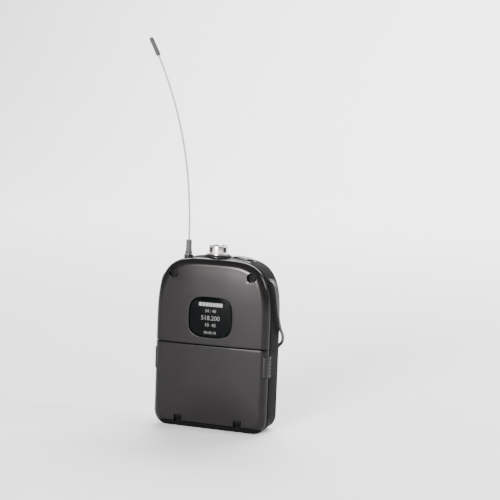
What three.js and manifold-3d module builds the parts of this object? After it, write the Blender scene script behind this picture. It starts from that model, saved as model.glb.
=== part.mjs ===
// Bodypack transmitter: a two-part case with a hinged battery door, a whip antenna,
// a four-pin input connector, a power button and a wire belt clip.
// Millimetres. +Z is up, +X is right seen from the display side, the display faces -Y.
// The origin is the middle of the bottom face.

import * as THREE from 'three';
import { mergeVertices } from 'three/addons/utils/BufferGeometryUtils.js';
import Module from 'manifold-3d';

const wasm = await Module();
wasm.setup();

// ---- driving dimensions -------------------------------------------------------------

const CASE = {
  width: 68,
  height: 98,
  depth: 25.5,
  archCentre: 54,
  archPower: 3.9,
  cornerRadius: 8,
  frontRoll: 4.6,
  rearRoll: 3,
  dome: 1.2,
  domeReach: 30,
  wall: 1.6,
};
const GAP = 0.3;
const HALF = CASE.width / 2;
const FRONT = -CASE.depth / 2;
const BACK = CASE.depth / 2;
const INNER_BACK = BACK - CASE.wall;

const SEAM = { frontEdge: -7.1, rearEdge: -5.9, sealInset: 0.6, sealWidth: 0.9 };
const DOOR = { top: 48.8, shellGap: 0.5, pinY: -9, pinZ: 6.6 };
const BEAD = { radius: 3.6, reach: 31, sweepRadius: 3.9 };
const HINGE = { pinRadius: 0.8, pinReach: 24.5, holeRadius: 1.1 };
const KNUCKLE = { x: 18, width: 4, radius: 2.4 };
const CHIN = { top: 5.4, webFront: 0.6, webRear: 1.5 };
const TAB = { low: 33, high: 45, front: -10.6, rear: -4.2, inner: 30.9, proud: 0.45 };
const TAB_BAY = 29.2;
const TAB_GROOVE = { first: 2.2, pitch: 1.9, halfWidth: 0.35, depth: 0.5 };
const TAB_SPRING = { y: -8, z: 39, radius: 1.2, wire: 0.22, turns: 4, from: 27.4, to: 31.1 };
const SPRING_POST = { inner: 26, outer: 27.1, rear: -6.4, reach: 2 };

const WINDOW = { z: 65, width: 25.8, height: 22.9, power: 3.4, recess: 0.6, thickness: 1.1 };
const FLANGE = { reach: 3, thickness: 0.8 };
const SCREW = { x: 23.3, z: 88.9, headRadius: 2.3, boreRadius: 2.75, seatY: -8.2, headHeight: 1.7, tip: 1 };
const BOARD_SCREW = { x: 23.5, z: 79, headRadius: 1.8, headHeight: 1.1, tip: 4 };
const TRAY_SCREW = { x: 25, z: 43.6, headRadius: 2, tip: 2 };
const LABEL = { z: 66, width: 31, height: 25, power: 6, recess: 0.5 };
const CHARGE = { x: 9, y: 5, length: 7, width: 3.2, low: 0.25, high: 1.9 };
const MODULE = { halfWidth: 12.5, low: 10.5, high: 10, thickness: 2.4 };
const RIBBON = { halfWidth: 5, drop: 9, thickness: 0.6 };
const SHANK = { radius: 0.85, holeRadius: 1.2 };
const BOSS = { wide: 3.2, narrow: 2.6, clipInner: 27.4, clipOuter: 31 };

const TOP_Y = 1.4;
const BORE_FLOOR = 90;
const ANTENNA = { x: -19.6, seat: 97.4, bootTop: 106.8, foot: 101.4, tip: 221.2, lean: 27.6, bend: 2.25 };
const JACK = { radius: 2.6, flangeRadius: 3, flangeHeight: 0.6, boreRadius: 1.5, boreFloor: 91.5 };
const FERRULE = { radius: 1.4, height: 1.6, studRadius: 1.2, studFoot: 92.2 };
const BOOT = { radius: 2.1, skirt: 1.2, waist: 1.75, neck: 1.65, top: 1.5 };
const BOOT_ROOM = { radius: 1.7, height: 1.9 };
const WHIP_RADIUS = 0.5;
const WHIP_END = 0.98;
const ANTENNA_CAP = { radius: 1.25, length: 10.3 };
const SOCKET = { x: -1.4, outerRadius: 5.5, innerRadius: 4.8, low: 91, floor: 96.5, top: 104.6 };
const SOCKET_WINDOW = { low: 101, high: 103.8, halfWidth: 1.1, angles: [-30, 60] };
const SOCKET_KEY = { low: 101.6, halfWidth: 0.8, angle: 105 };
const SOCKET_BEZEL = { radius: 7.5, height: 1.2, taper: 0.5 };
const PIN = { radius: 0.5, circle: 2.4, low: 89.5, high: 100, holeRadius: 0.85, count: 4 };
const POWER = { x: 13.8, y: 2.4, length: 12, width: 7, rim: 1.2, proud: 1.3 };
const DISH = { radius: 16, depth: 0.9 };
const POWER_SWITCH = { halfWidth: 3, low: 86.4, high: 90.6, stemRadius: 1.4, stemTop: 92.4 };
const LED_BAR = { x: 13.6, y: -3.8, length: 12.4, width: 1 };

const BATTERY = { x: -1, y: -0.4, z: 21.65, length: 54, lobeRadius: 7.3, pitch: 15.5, waist: 0.72, cap: 5 };
const TONGUE = { length: 1.8, front: 1, rear: 2.4, halfHeight: 5.5 };
const CONTACT_BLOCK = { x0: 28.9, x1: 30.9, front: -3, rear: 5.6, margin: 1.4 };
const LEAF = { count: 3, pitch: 4, halfWidth: 0.8, thickness: 0.3, front: -2, rear: 0.7, end: 28.6 };
const TRAY = { inset: 2.1, front: -5.6, bottom: 2.2, top: 48.6, backY: 7.3, strip: 38.2 };
const BOARD = { front: -2.6, back: -1.4, halfWidth: 27, bottom: 39.6, top: 85 };
const EAR = { x0: 8, x1: 19.4, top: 91.6 };
const SHIELD = { x0: -24, x1: -5, low: 60, high: 74, back: 1.8 };
const CHIP = { x0: 6, x1: 18, low: 58, high: 70, back: 0.6 };
const POCKET = { x0: -28.6, x1: 28.4, low: 5.8, strip: 0.9 };
const MENU = { left: -10.5, z: 43.6, pitch: 9, width: 5.2, height: 3.4, count: 3, proud: 0.8, flange: 0.6 };
const LENS = { x: 19.4, z: 43.6, radius: 2.1 };

const CLIP = { wire: 0.95, socketY: -0.5, socketZ: 87, holeRadius: 1.3, bossRadius: 2.5, side: 35.4 };

// ---- finishes -----------------------------------------------------------------------

const finish = (color, roughness, metalness) =>
  new THREE.MeshStandardMaterial({ color, roughness, metalness });

const BLACK_PAINT = finish(0x2b2a2b, 0.42, 0.35);
const BLACK_PLASTIC = finish(0x1b1b1c, 0.6, 0);
const GLOSS_BLACK = finish(0x0b0d0e, 0.12, 0);
const RUBBER = finish(0x3a3a3b, 0.85, 0);
const NICKEL = finish(0xc8c6c0, 0.25, 1);
const STEEL = finish(0x8f9092, 0.35, 1);
const DARK_STEEL = finish(0x17171a, 0.4, 0.8);
const GOLD = finish(0xd4a445, 0.25, 1);
const WHIP = finish(0xb9babb, 0.4, 0.6);
const BOARD_GREEN = finish(0x1d4a33, 0.5, 0);
const CELL_WHITE = finish(0xd2d3d2, 0.4, 0.1);
const LIGHT_GUIDE = finish(0xb8d8c0, 0.2, 0);

// ---- solids -------------------------------------------------------------------------

const object = new THREE.Group();

function solidOf(geometry) {
  geometry.deleteAttribute('normal');
  geometry.deleteAttribute('uv');
  const merged = mergeVertices(geometry, 1e-4);
  const vertProperties = new Float32Array(merged.attributes.position.array);
  const triVerts = new Uint32Array(merged.index.array);
  return new wasm.Manifold(new wasm.Mesh({ numProp: 3, vertProperties, triVerts }));
}

function addPiece(name, solid, material) {
  const mesh = solid.getMesh();
  const geometry = new THREE.BufferGeometry();
  geometry.setAttribute('position', new THREE.BufferAttribute(mesh.vertProperties, 3));
  geometry.setIndex(new THREE.BufferAttribute(mesh.triVerts, 1));
  geometry.computeVertexNormals();
  const piece = new THREE.Mesh(geometry, material);
  piece.name = name;
  object.add(piece);
}

const join = (first, ...others) => others.reduce((sum, next) => sum.add(next), first);
const cut = (base, ...tools) => tools.reduce((rest, tool) => rest.subtract(tool), base);

function box(x0, y0, z0, x1, y1, z1) {
  const geometry = new THREE.BoxGeometry(x1 - x0, y1 - y0, z1 - z0);
  geometry.translate((x0 + x1) / 2, (y0 + y1) / 2, (z0 + z1) / 2);
  return solidOf(geometry);
}

function rodX(radius, x0, x1, y, z, sides = 16) {
  const geometry = new THREE.CylinderGeometry(radius, radius, x1 - x0, sides);
  geometry.rotateZ(Math.PI / 2).translate((x0 + x1) / 2, y, z);
  return solidOf(geometry);
}

function rodY(radius, x, y0, y1, z, sides = 16) {
  const geometry = new THREE.CylinderGeometry(radius, radius, y1 - y0, sides);
  return solidOf(geometry.translate(x, (y0 + y1) / 2, z));
}

function rodZ(radius, x, y, z0, z1, sides = 16, topRadius = radius) {
  const geometry = new THREE.CylinderGeometry(topRadius, radius, z1 - z0, sides);
  geometry.rotateX(Math.PI / 2).translate(x, y, (z0 + z1) / 2);
  return solidOf(geometry);
}

// A flat outline in X and Z, pushed along Y.
function plateY(points, y0, y1) {
  const shape = new THREE.Shape(points.map(([x, z]) => new THREE.Vector2(x, z)));
  const geometry = new THREE.ExtrudeGeometry(shape, { depth: y1 - y0, bevelEnabled: false });
  return solidOf(geometry.rotateX(Math.PI / 2).translate(0, y1, 0));
}

// A flat outline in X and Y, pushed along Z.
function plateZ(shape, z0, z1, curveSegments = 6) {
  const depth = z1 - z0;
  const geometry = new THREE.ExtrudeGeometry(shape, { depth, bevelEnabled: false, curveSegments });
  return solidOf(geometry.translate(0, 0, z0));
}

function sweep(curve, radius, sides, steps) {
  const section = [];
  for (let i = 0; i < sides; i += 1) {
    const angle = (2 * Math.PI * i) / sides;
    section.push(new THREE.Vector2(radius * Math.cos(angle), radius * Math.sin(angle)));
  }
  const options = { steps, extrudePath: curve, bevelEnabled: false };
  return solidOf(new THREE.ExtrudeGeometry(new THREE.Shape(section), options));
}

// A closed skin over rings that all have the same number of points.
function loft(rings) {
  const count = rings[0].length;
  const centre = (ring) => ring.reduce((sum, p) => sum.add(p), new THREE.Vector3()).divideScalar(count);
  const vertices = [...rings.flat(), centre(rings[0]), centre(rings.at(-1))];
  const frontCentre = count * rings.length;
  const backCentre = frontCentre + 1;
  const lastRing = count * (rings.length - 1);
  const faces = [];
  for (let i = 0; i < count; i += 1) {
    const next = (i + 1) % count;
    faces.push(frontCentre, i, next);
    faces.push(backCentre, lastRing + next, lastRing + i);
    for (let row = 0; row < lastRing; row += count) {
      faces.push(row + i, row + count + i, row + count + next);
      faces.push(row + i, row + count + next, row + next);
    }
  }
  const vertProperties = new Float32Array(vertices.flatMap((v) => [v.x, v.y, v.z]));
  const triVerts = new Uint32Array(faces);
  return new wasm.Manifold(new wasm.Mesh({ numProp: 3, vertProperties, triVerts }));
}

const power = (value, exponent) => Math.sign(value) * Math.abs(value) ** exponent;

function squircle(width, height, exponent, centreZ, steps = 28) {
  const points = [];
  for (let i = 0; i < steps; i += 1) {
    const angle = (2 * Math.PI * i) / steps;
    const x = (width / 2) * power(Math.cos(angle), 2 / exponent);
    const z = (height / 2) * power(Math.sin(angle), 2 / exponent);
    points.push([x, centreZ + z]);
  }
  return points;
}

function stadium(x, y, length, width) {
  const reach = (length - width) / 2;
  const shape = new THREE.Shape();
  shape.absarc(x + reach, y, width / 2, -Math.PI / 2, Math.PI / 2);
  shape.absarc(x - reach, y, width / 2, Math.PI / 2, (3 * Math.PI) / 2);
  return shape;
}

// ---- case form ----------------------------------------------------------------------

const ARCH_STEPS = 22;
const CORNER_STEPS = 4;

// The case outline seen from the front: an arch over straight sides and round lower corners.
function caseOutline(inset) {
  const halfWidth = HALF - inset;
  const rise = CASE.height - CASE.archCentre - inset;
  const corner = Math.min(CASE.cornerRadius, halfWidth);
  const points = [];
  for (let i = 0; i <= ARCH_STEPS; i += 1) {
    const angle = (Math.PI * i) / ARCH_STEPS;
    const x = halfWidth * power(Math.cos(angle), 2 / CASE.archPower);
    const z = CASE.archCentre + rise * Math.abs(Math.sin(angle)) ** (2 / CASE.archPower);
    points.push([x, z]);
  }
  for (const side of [-1, 1]) {
    for (let i = 0; i <= CORNER_STEPS; i += 1) {
      const angle = (Math.PI / 2) * (side < 0 ? 1 - i / CORNER_STEPS : i / CORNER_STEPS);
      const x = side * (halfWidth - corner + corner * Math.sin(angle));
      points.push([x, inset + corner * (1 - Math.cos(angle))]);
    }
  }
  return points;
}

// Rows of [inset, y] from the domed front, round the front edge and along to the rear edge.
function caseRows(skin) {
  const rows = [];
  for (const reach of [1, 0.45]) {
    const inset = CASE.frontRoll + reach * (CASE.domeReach - CASE.frontRoll);
    rows.push([inset, FRONT + CASE.dome * (1 - reach) ** 2 + skin]);
  }
  for (const turn of [0, 0.33, 0.66, 1]) {
    const angle = (turn * Math.PI) / 2;
    const inset = CASE.frontRoll * (1 - Math.sin(angle)) + skin * Math.sin(angle);
    const step = CASE.frontRoll * (1 - Math.cos(angle)) + skin * Math.cos(angle);
    rows.push([inset, FRONT + CASE.dome + step]);
  }
  for (const turn of [1, 0.5, 0]) {
    const angle = (turn * Math.PI) / 2;
    const inset = CASE.rearRoll * (1 - Math.sin(angle)) + skin * Math.sin(angle);
    const step = CASE.rearRoll * (1 - Math.cos(angle)) + skin * Math.cos(angle);
    rows.push([inset, BACK - step]);
  }
  return rows;
}

function caseSolid(skin) {
  const ring = ([inset, y]) => caseOutline(inset).map(([x, z]) => new THREE.Vector3(x, y, z));
  return loft(caseRows(skin).map(ring));
}

const OUTER = caseSolid(0);
const HOLLOW = cut(OUTER, caseSolid(CASE.wall));
const within = (solid, ...corners) => solid.intersect(box(...corners));
const mirrored = (solid) => solid.mirror([1, 0, 0]);
const onSide = (side, inner, outer) => (side > 0 ? [inner, outer] : [-outer, -inner]);

// ---- case shells --------------------------------------------------------------------

function frontShell() {
  const low = DOOR.top + DOOR.shellGap;
  const region = [-HALF - 1, FRONT - 1, low, HALF + 1, SEAM.frontEdge, CASE.height + 1];
  const lip = within(OUTER, -HALF, FRONT - 1, low, HALF, SEAM.frontEdge, low + 1.2);
  const opening = squircle(WINDOW.width, WINDOW.height, WINDOW.power, WINDOW.z);
  let shell = join(within(HOLLOW, ...region), lip);
  for (const x of [-SCREW.x, SCREW.x]) {
    const boss = rodY(SCREW.boreRadius + 1.2, x, FRONT, SEAM.frontEdge, SCREW.z, 20);
    shell = join(shell, boss.intersect(OUTER));
    shell = cut(shell, rodY(SCREW.boreRadius, x, FRONT - 1, SCREW.seatY, SCREW.z, 24));
    shell = cut(shell, rodY(SHANK.holeRadius, x, FRONT - 1, BACK, SCREW.z, 12));
  }
  return cut(shell, plateY(opening, FRONT - 1, SEAM.frontEdge));
}

function topOpenings() {
  const rim = 2 * (POWER.rim + GAP);
  const button = stadium(POWER.x, POWER.y, POWER.length + rim, POWER.width + rim);
  const light = stadium(LED_BAR.x, LED_BAR.y, LED_BAR.length + 2 * GAP, LED_BAR.width + 2 * GAP);
  return [
    rodZ(SOCKET.outerRadius + GAP, SOCKET.x, TOP_Y, BORE_FLOOR, CASE.height + 1, 24),
    rodZ(JACK.radius + GAP, ANTENNA.x, TOP_Y, BORE_FLOOR, CASE.height + 1),
    plateZ(button, BORE_FLOOR, CASE.height + 1),
    plateZ(light, BORE_FLOOR, CASE.height + 1, 3),
  ];
}

function rearBosses() {
  const boss = (radius, x, z, front) => rodY(radius, x, front, INNER_BACK + 0.5, z);
  return [-1, 1].flatMap((side) => [
    boss(BOSS.wide, side * SCREW.x, SCREW.z, SEAM.rearEdge - 0.1),
    boss(BOSS.narrow, side * BOARD_SCREW.x, BOARD_SCREW.z, BOARD.back + GAP),
    boss(BOSS.narrow, side * TRAY_SCREW.x, TRAY_SCREW.z, TRAY.front + 1.9),
    rodX(CLIP.bossRadius, ...onSide(side, BOSS.clipInner, BOSS.clipOuter), CLIP.socketY, CLIP.socketZ)
      .intersect(OUTER),
  ]);
}

function rearBores() {
  const bore = (x, z, depth) => rodY(SHANK.radius + GAP, x, FRONT, depth, z, 12);
  return [-1, 1].flatMap((side) => [
    bore(side * SCREW.x, SCREW.z, SCREW.tip + 1),
    bore(side * BOARD_SCREW.x, BOARD_SCREW.z, BOARD_SCREW.tip + 2),
    bore(side * TRAY_SCREW.x, TRAY_SCREW.z, TRAY_SCREW.tip + 2),
    rodX(CLIP.holeRadius, ...onSide(side, BOSS.clipInner - 0.6, HALF + 2), CLIP.socketY, CLIP.socketZ, 12),
  ]);
}

// The bottom bar in front of the seam carries the two hinge knuckles.
function chin() {
  const bar = within(OUTER, -HALF, FRONT - 1, -1, HALF, SEAM.rearEdge + 1, CHIN.top);
  const scoop = rodX(BEAD.sweepRadius, -HALF - 1, HALF + 1, DOOR.pinY, DOOR.pinZ, 32);
  const knuckles = [-1, 1].map((side) => {
    const x0 = side * KNUCKLE.x - KNUCKLE.width / 2;
    const x1 = x0 + KNUCKLE.width;
    const barrel = rodX(KNUCKLE.radius, x0, x1, DOOR.pinY, DOOR.pinZ, 20);
    const web = box(x0, DOOR.pinY - CHIN.webFront, 1, x1, DOOR.pinY + CHIN.webRear, DOOR.pinZ);
    return join(barrel, web).intersect(OUTER);
  });
  return join(cut(bar, scoop), ...knuckles);
}

function chargeSlots(margin) {
  const [length, width] = [CHARGE.length + 2 * margin, CHARGE.width + 2 * margin];
  return [-1, 1].map((side) => stadium(side * CHARGE.x, CHARGE.y, length, width));
}

function rearShell() {
  const region = [-HALF - 1, SEAM.rearEdge, -1, HALF + 1, BACK + 1, CASE.height + 1];
  const scoop = rodX(BEAD.sweepRadius, -HALF - 1, HALF + 1, DOOR.pinY, DOOR.pinZ, 32);
  const notches = [-1, 1].map((side) => {
    const [x0, x1] = onSide(side, TAB_BAY, HALF + 2);
    return box(x0, SEAM.frontEdge - 1, TAB.low - GAP, x1, TAB.rear + GAP, TAB.high + GAP);
  });
  const pinHole = rodX(HINGE.holeRadius, -HALF, HALF, DOOR.pinY, DOOR.pinZ);
  const { width, height, power: roundness, z } = LABEL;
  const label = plateY(squircle(width, height, roundness, z), BACK - LABEL.recess, BACK + 1);
  const charge = chargeSlots(GAP).map((shape) => plateZ(shape, -1, 3, 4));
  const body = join(cut(within(HOLLOW, ...region), scoop), chin(), ...rearBosses());
  return cut(body, ...topOpenings(), ...rearBores(), ...notches, pinHole, label, ...charge);
}

function seal() {
  const inner = SEAM.sealInset + SEAM.sealWidth;
  const y0 = SEAM.frontEdge + GAP;
  const y1 = SEAM.rearEdge - GAP;
  const ring = cut(plateY(caseOutline(SEAM.sealInset), y0, y1), plateY(caseOutline(inner), FRONT, BACK));
  return within(ring, -HALF, FRONT, DOOR.top + 1.2, HALF, BACK, CASE.height);
}

addPiece('front_shell', frontShell(), BLACK_PAINT);
addPiece('rear_shell', rearShell(), BLACK_PAINT);
addPiece('shell_seal', seal(), RUBBER);

function shellScrew(x, z, seatY, tipY, headRadius) {
  const head = rodY(headRadius, x, seatY - GAP - SCREW.headHeight, seatY - GAP, z, 16);
  const socket = rodY(headRadius * 0.5, x, FRONT, seatY - GAP - SCREW.headHeight + 0.9, z, 6);
  return join(cut(head, socket), rodY(SHANK.radius, x, seatY - GAP - 0.1, tipY, z, 10));
}

for (const [side, name] of [[-1, 'left'], [1, 'right']]) {
  const caseScrew = shellScrew(side * SCREW.x, SCREW.z, SCREW.seatY, SCREW.tip, SCREW.headRadius);
  addPiece(`case_screw_${name}`, caseScrew, DARK_STEEL);
}

function backLabel() {
  const { width, height, power: roundness, z, recess } = LABEL;
  const outline = squircle(width - 2 * GAP, height - 2 * GAP, roundness, z);
  return plateY(outline, BACK - recess + GAP / 2, BACK - 0.02);
}

addPiece('back_label', backLabel(), GLOSS_BLACK);

for (const [index, name] of ['left', 'right'].entries()) {
  const pad = plateZ(chargeSlots(0)[index], CHARGE.low, CHARGE.high, 4);
  addPiece(`charge_contact_${name}`, pad, GOLD);
}

// ---- display ------------------------------------------------------------------------

function displayWindow() {
  const face = FRONT + WINDOW.recess;
  const rear = face + WINDOW.thickness + CASE.wall;
  const { width, height, z } = WINDOW;
  const front = plateY(squircle(width - 2 * GAP, height - 2 * GAP, WINDOW.power, z), face, rear);
  const outline = squircle(width + FLANGE.reach, height + FLANGE.reach, WINDOW.power, z);
  const flange = plateY(outline, rear - FLANGE.thickness, rear);
  return join(front, flange);
}

function displayModule() {
  const y = FRONT + WINDOW.recess + WINDOW.thickness + CASE.wall + GAP;
  const { halfWidth, low, high, thickness } = MODULE;
  const body = box(-halfWidth, y, WINDOW.z - low, halfWidth, y + thickness, WINDOW.z + high);
  const half = RIBBON.halfWidth;
  const ribbonLow = WINDOW.z - RIBBON.drop;
  const ribbonHigh = ribbonLow + RIBBON.thickness;
  const ribbon = box(-half, y + thickness - GAP, ribbonLow, half, BOARD.front - GAP, ribbonHigh);
  return join(body, ribbon);
}

addPiece('display_window', displayWindow(), GLOSS_BLACK);
addPiece('display_module', displayModule(), BLACK_PLASTIC);

// ---- boards -------------------------------------------------------------------------

// The cut-out in the board's lower corner around a tray screw boss.
function trayBossRoom(x) {
  const { front, back, bottom } = BOARD;
  return box(x - BOSS.wide, front - 1, bottom - 1, x + BOSS.wide, back + 1, TRAY_SCREW.z + 3.6);
}

function mainBoard() {
  const { front, back, halfWidth, bottom, top } = BOARD;
  const panel = join(
    box(-halfWidth, front, bottom, halfWidth, back, top),
    box(EAR.x0, front, top - 1, EAR.x1, back, EAR.top),
  );
  const holes = [-1, 1].flatMap((side) => [
    rodY(SHANK.holeRadius, side * BOARD_SCREW.x, front - 1, back + 1, BOARD_SCREW.z, 12),
    trayBossRoom(side * TRAY_SCREW.x),
  ]);
  return cut(panel, ...holes);
}

addPiece('main_board', mainBoard(), BOARD_GREEN);
const onBoard = ({ x0, x1, low, high, back }) => box(x0, BOARD.back + GAP, low, x1, back, high);
addPiece('rf_shield', onBoard(SHIELD), NICKEL);
addPiece('audio_chip', onBoard(CHIP), BLACK_PLASTIC);

for (const [side, name] of [[-1, 'left'], [1, 'right']]) {
  const x = side * BOARD_SCREW.x;
  const { z, headRadius, headHeight, tip } = BOARD_SCREW;
  const under = BOARD.front - GAP;
  const head = rodY(headRadius, x, under - headHeight, under, z, 12);
  const shank = rodY(SHANK.radius, x, under - 0.1, tip, z, 12);
  addPiece(`board_screw_${name}`, join(head, shank), STEEL);
}

// ---- battery tray and battery -------------------------------------------------------

const contactLow = BATTERY.z - TONGUE.halfHeight;
const contactHigh = BATTERY.z + TONGUE.halfHeight;

function batteryForm() {
  const radius = BATTERY.lobeRadius;
  const waist = BATTERY.lobeRadius * BATTERY.waist;
  const x0 = BATTERY.x - BATTERY.length / 2;
  const x1 = BATTERY.x + BATTERY.length / 2;
  const lobes = [-1, 1].map((side) =>
    rodX(radius, x0, x1, BATTERY.y, BATTERY.z + (side * BATTERY.pitch) / 2, 24));
  const web = box(x0, BATTERY.y - waist, BATTERY.z - 5, x1, BATTERY.y + waist, BATTERY.z + 5);
  return { x0, x1, solid: join(...lobes, web) };
}

function batteryTray() {
  const { inset, front, bottom, top, backY, strip } = TRAY;
  const block = caseSolid(inset);
  const scoop = rodX(BEAD.sweepRadius + 0.2, -HALF, HALF, DOOR.pinY, DOOR.pinZ, 24);
  const pocket = box(POCKET.x0, front - 1, POCKET.low, POCKET.x1, backY, strip - POCKET.strip);
  const { x1, front: blockFront, margin } = CONTACT_BLOCK;
  const bayLow = contactLow - margin - 2 * GAP;
  const bayHigh = contactHigh + margin + 2 * GAP;
  const contactBay = box(POCKET.x1 - GAP, blockFront - GAP, bayLow, x1 + GAP, backY - 1, bayHigh);
  const behind = box(-26, backY + 1, 5, 26, INNER_BACK, top + 1);
  const boardBay = box(-28, front + 1.5, strip, 28, INNER_BACK, top + 1);
  const sides = [-1, 1].flatMap((side) => {
    const [inner, outer] = onSide(side, TAB_BAY + 0.2, HALF + 1);
    return [
      box(inner, front - 1, TAB.low - 0.5, outer, TAB.rear + 0.5, TAB.high + 0.5),
      rodY(SHANK.holeRadius, side * TRAY_SCREW.x, front - 1, front + 3, TRAY_SCREW.z, 12),
    ];
  });
  const buttons = menuPlaces().map((x) => {
    const w = MENU.width / 2 + GAP;
    const h = MENU.height / 2 + GAP;
    return box(x - w, front - 1, MENU.z - h, x + w, front + 2, MENU.z + h);
  });
  const lens = rodY(LENS.radius + GAP, LENS.x, front - 1, front + 2, LENS.z);
  const trimmed = within(block, -HALF, front, bottom, HALF, BACK, top);
  const barRoom = box(-HALF, front - 1, 0, HALF, SEAM.rearEdge + 1 + GAP, CHIN.top + 0.5);
  return cut(trimmed, barRoom, scoop, pocket, contactBay, behind, boardBay, ...sides, ...buttons, lens);
}

function menuPlaces() {
  return Array.from({ length: MENU.count }, (_, index) => MENU.left + index * MENU.pitch);
}

addPiece('battery_tray', batteryTray(), BLACK_PLASTIC);

const battery = batteryForm();
const capEdge = battery.x0 + BATTERY.cap;
addPiece('battery_case', within(battery.solid, capEdge + GAP, FRONT, 0, HALF, BACK, DOOR.top), CELL_WHITE);
addPiece('battery_cap', within(battery.solid, -HALF, FRONT, 0, capEdge, BACK, DOOR.top), BLACK_PLASTIC);

const tongueX = battery.x1 + GAP;
const tongueEnd = tongueX + TONGUE.length;
const tongue = box(tongueX, TONGUE.front, contactLow, tongueEnd, TONGUE.rear, contactHigh);
addPiece('battery_contact', tongue, GOLD);

function contactBlock() {
  const { x0, x1, front, rear, margin } = CONTACT_BLOCK;
  return box(x0, front, contactLow - margin, x1, rear, contactHigh + margin);
}

addPiece('contact_block', contactBlock(), BLACK_PLASTIC);

for (let i = 0; i < LEAF.count; i += 1) {
  const z = BATTERY.z + (i - 1) * LEAF.pitch;
  const { halfWidth, thickness, front, rear, end } = LEAF;
  const leaf = box(tongueX, rear - thickness, z - halfWidth, end, rear, z + halfWidth);
  const foot = box(end - thickness, front, z - halfWidth, end, rear, z + halfWidth);
  addPiece(`battery_spring_${i + 1}`, join(leaf, foot), GOLD);
}

for (const [side, name] of [[-1, 'left'], [1, 'right']]) {
  const { x, z, tip, headRadius } = TRAY_SCREW;
  addPiece(`tray_screw_${name}`, shellScrew(side * x, z, TRAY.front, tip, headRadius), DARK_STEEL);
}

for (const [index, x] of menuPlaces().entries()) {
  const { z, width, height } = MENU;
  const capY = TRAY.front - MENU.proud;
  const flangeY = TRAY.front + 1.5 + GAP;
  const cap = box(x - width / 2, capY, z - height / 2, x + width / 2, flangeY + 0.1, z + height / 2);
  const halfWidth = width / 2 + MENU.flange;
  const halfHeight = height / 2 + MENU.flange;
  const flange = box(x - halfWidth, flangeY, z - halfHeight, x + halfWidth, flangeY + 0.3, z + halfHeight);
  addPiece(`menu_button_${index + 1}`, join(cap, flange), RUBBER);
}

const lensRod = rodY(LENS.radius, LENS.x, TRAY.front + 0.1, TRAY.front + 1.2, LENS.z, 20);
addPiece('infrared_window', lensRod, GLOSS_BLACK);

// ---- battery door -------------------------------------------------------------------

function doorHinge() {
  const bead = rodX(BEAD.radius, -HALF, HALF, DOOR.pinY, DOOR.pinZ, 32).intersect(OUTER);
  return within(bead, -BEAD.reach, FRONT - 1, -1, BEAD.reach, SEAM.frontEdge + 2, 20);
}

function batteryDoor() {
  const region = [-HALF - 1, FRONT - 1, DOOR.pinZ, HALF + 1, SEAM.frontEdge, DOOR.top];
  const topLip = within(OUTER, -HALF, FRONT - 1, DOOR.top - 1.4, HALF, SEAM.frontEdge - 1.2, DOOR.top);
  const foot = rodX(BEAD.radius, -HALF - 1, HALF + 1, DOOR.pinY, DOOR.pinZ, 32).intersect(HOLLOW);
  const footSides = within(foot, -HALF - 1, FRONT - 1, -1, HALF + 1, SEAM.frontEdge, 20);
  const panel = join(within(HOLLOW, ...region), topLip, doorHinge(), footSides);
  const notches = [-1, 1].flatMap((side) => {
    const centre = side * KNUCKLE.x;
    const reach = KNUCKLE.width / 2 + GAP;
    const [x0, x1] = onSide(side, TAB_BAY, HALF + 2);
    return [
      rodX(KNUCKLE.radius + 0.6, centre - reach, centre + reach, DOOR.pinY, DOOR.pinZ, 24),
      box(centre - reach, FRONT - 1, -1, centre + reach, SEAM.frontEdge + 3, DOOR.pinZ),
      box(x0, TAB.front - GAP, TAB.low - GAP, x1, 0, TAB.high + GAP),
    ];
  });
  const pinHole = rodX(HINGE.holeRadius, -HINGE.pinReach - 1.5, HINGE.pinReach + 1.5, DOOR.pinY, DOOR.pinZ);
  const posts = [-1, 1].map((side) => {
    const [x0, x1] = onSide(side, SPRING_POST.inner, SPRING_POST.outer);
    const { rear, reach } = SPRING_POST;
    return box(x0, FRONT + CASE.dome, TAB_SPRING.z - reach, x1, rear, TAB_SPRING.z + reach);
  });
  return join(cut(panel, ...notches, pinHole), ...posts);
}

function latchTab() {
  const { low, high, front, rear, inner, proud } = TAB;
  const body = within(caseSolid(-proud), inner, front, low, HALF + 1, rear, high);
  const room = TAB_SPRING.radius + TAB_SPRING.wire + GAP;
  const pocket = rodX(room, inner - 1, inner + 1.9, TAB_SPRING.y, TAB_SPRING.z);
  const grooves = [];
  const { first, pitch, halfWidth, depth } = TAB_GROOVE;
  for (let z = low + first; z < high - 1; z += pitch) {
    const floor = HALF + proud - depth;
    grooves.push(box(floor, front - 1, z - halfWidth, HALF + 2, rear + 1, z + halfWidth));
  }
  return cut(body, pocket, ...grooves);
}

function tabSpring() {
  const { y, z, radius, wire, turns, from, to } = TAB_SPRING;
  const points = [];
  const steps = turns * 8;
  for (let i = 0; i <= steps; i += 1) {
    const angle = (2 * Math.PI * turns * i) / steps;
    const x = from + wire + ((to - from - 2 * wire) * i) / steps;
    points.push(new THREE.Vector3(x, y + radius * Math.cos(angle), z + radius * Math.sin(angle)));
  }
  return sweep(new THREE.CatmullRomCurve3(points), wire, 4, steps);
}

addPiece('battery_door', batteryDoor(), BLACK_PAINT);
addPiece('latch_tab_right', latchTab(), BLACK_PLASTIC);
addPiece('latch_tab_left', mirrored(latchTab()), BLACK_PLASTIC);
addPiece('latch_spring_right', tabSpring(), STEEL);
addPiece('latch_spring_left', mirrored(tabSpring()), STEEL);
const { pinRadius, pinReach } = HINGE;
addPiece('door_hinge_pin', rodX(pinRadius, -pinReach, pinReach, DOOR.pinY, DOOR.pinZ, 12), STEEL);

// ---- input connector ----------------------------------------------------------------

const SOCKET_BASE = CASE.height + GAP;

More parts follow.
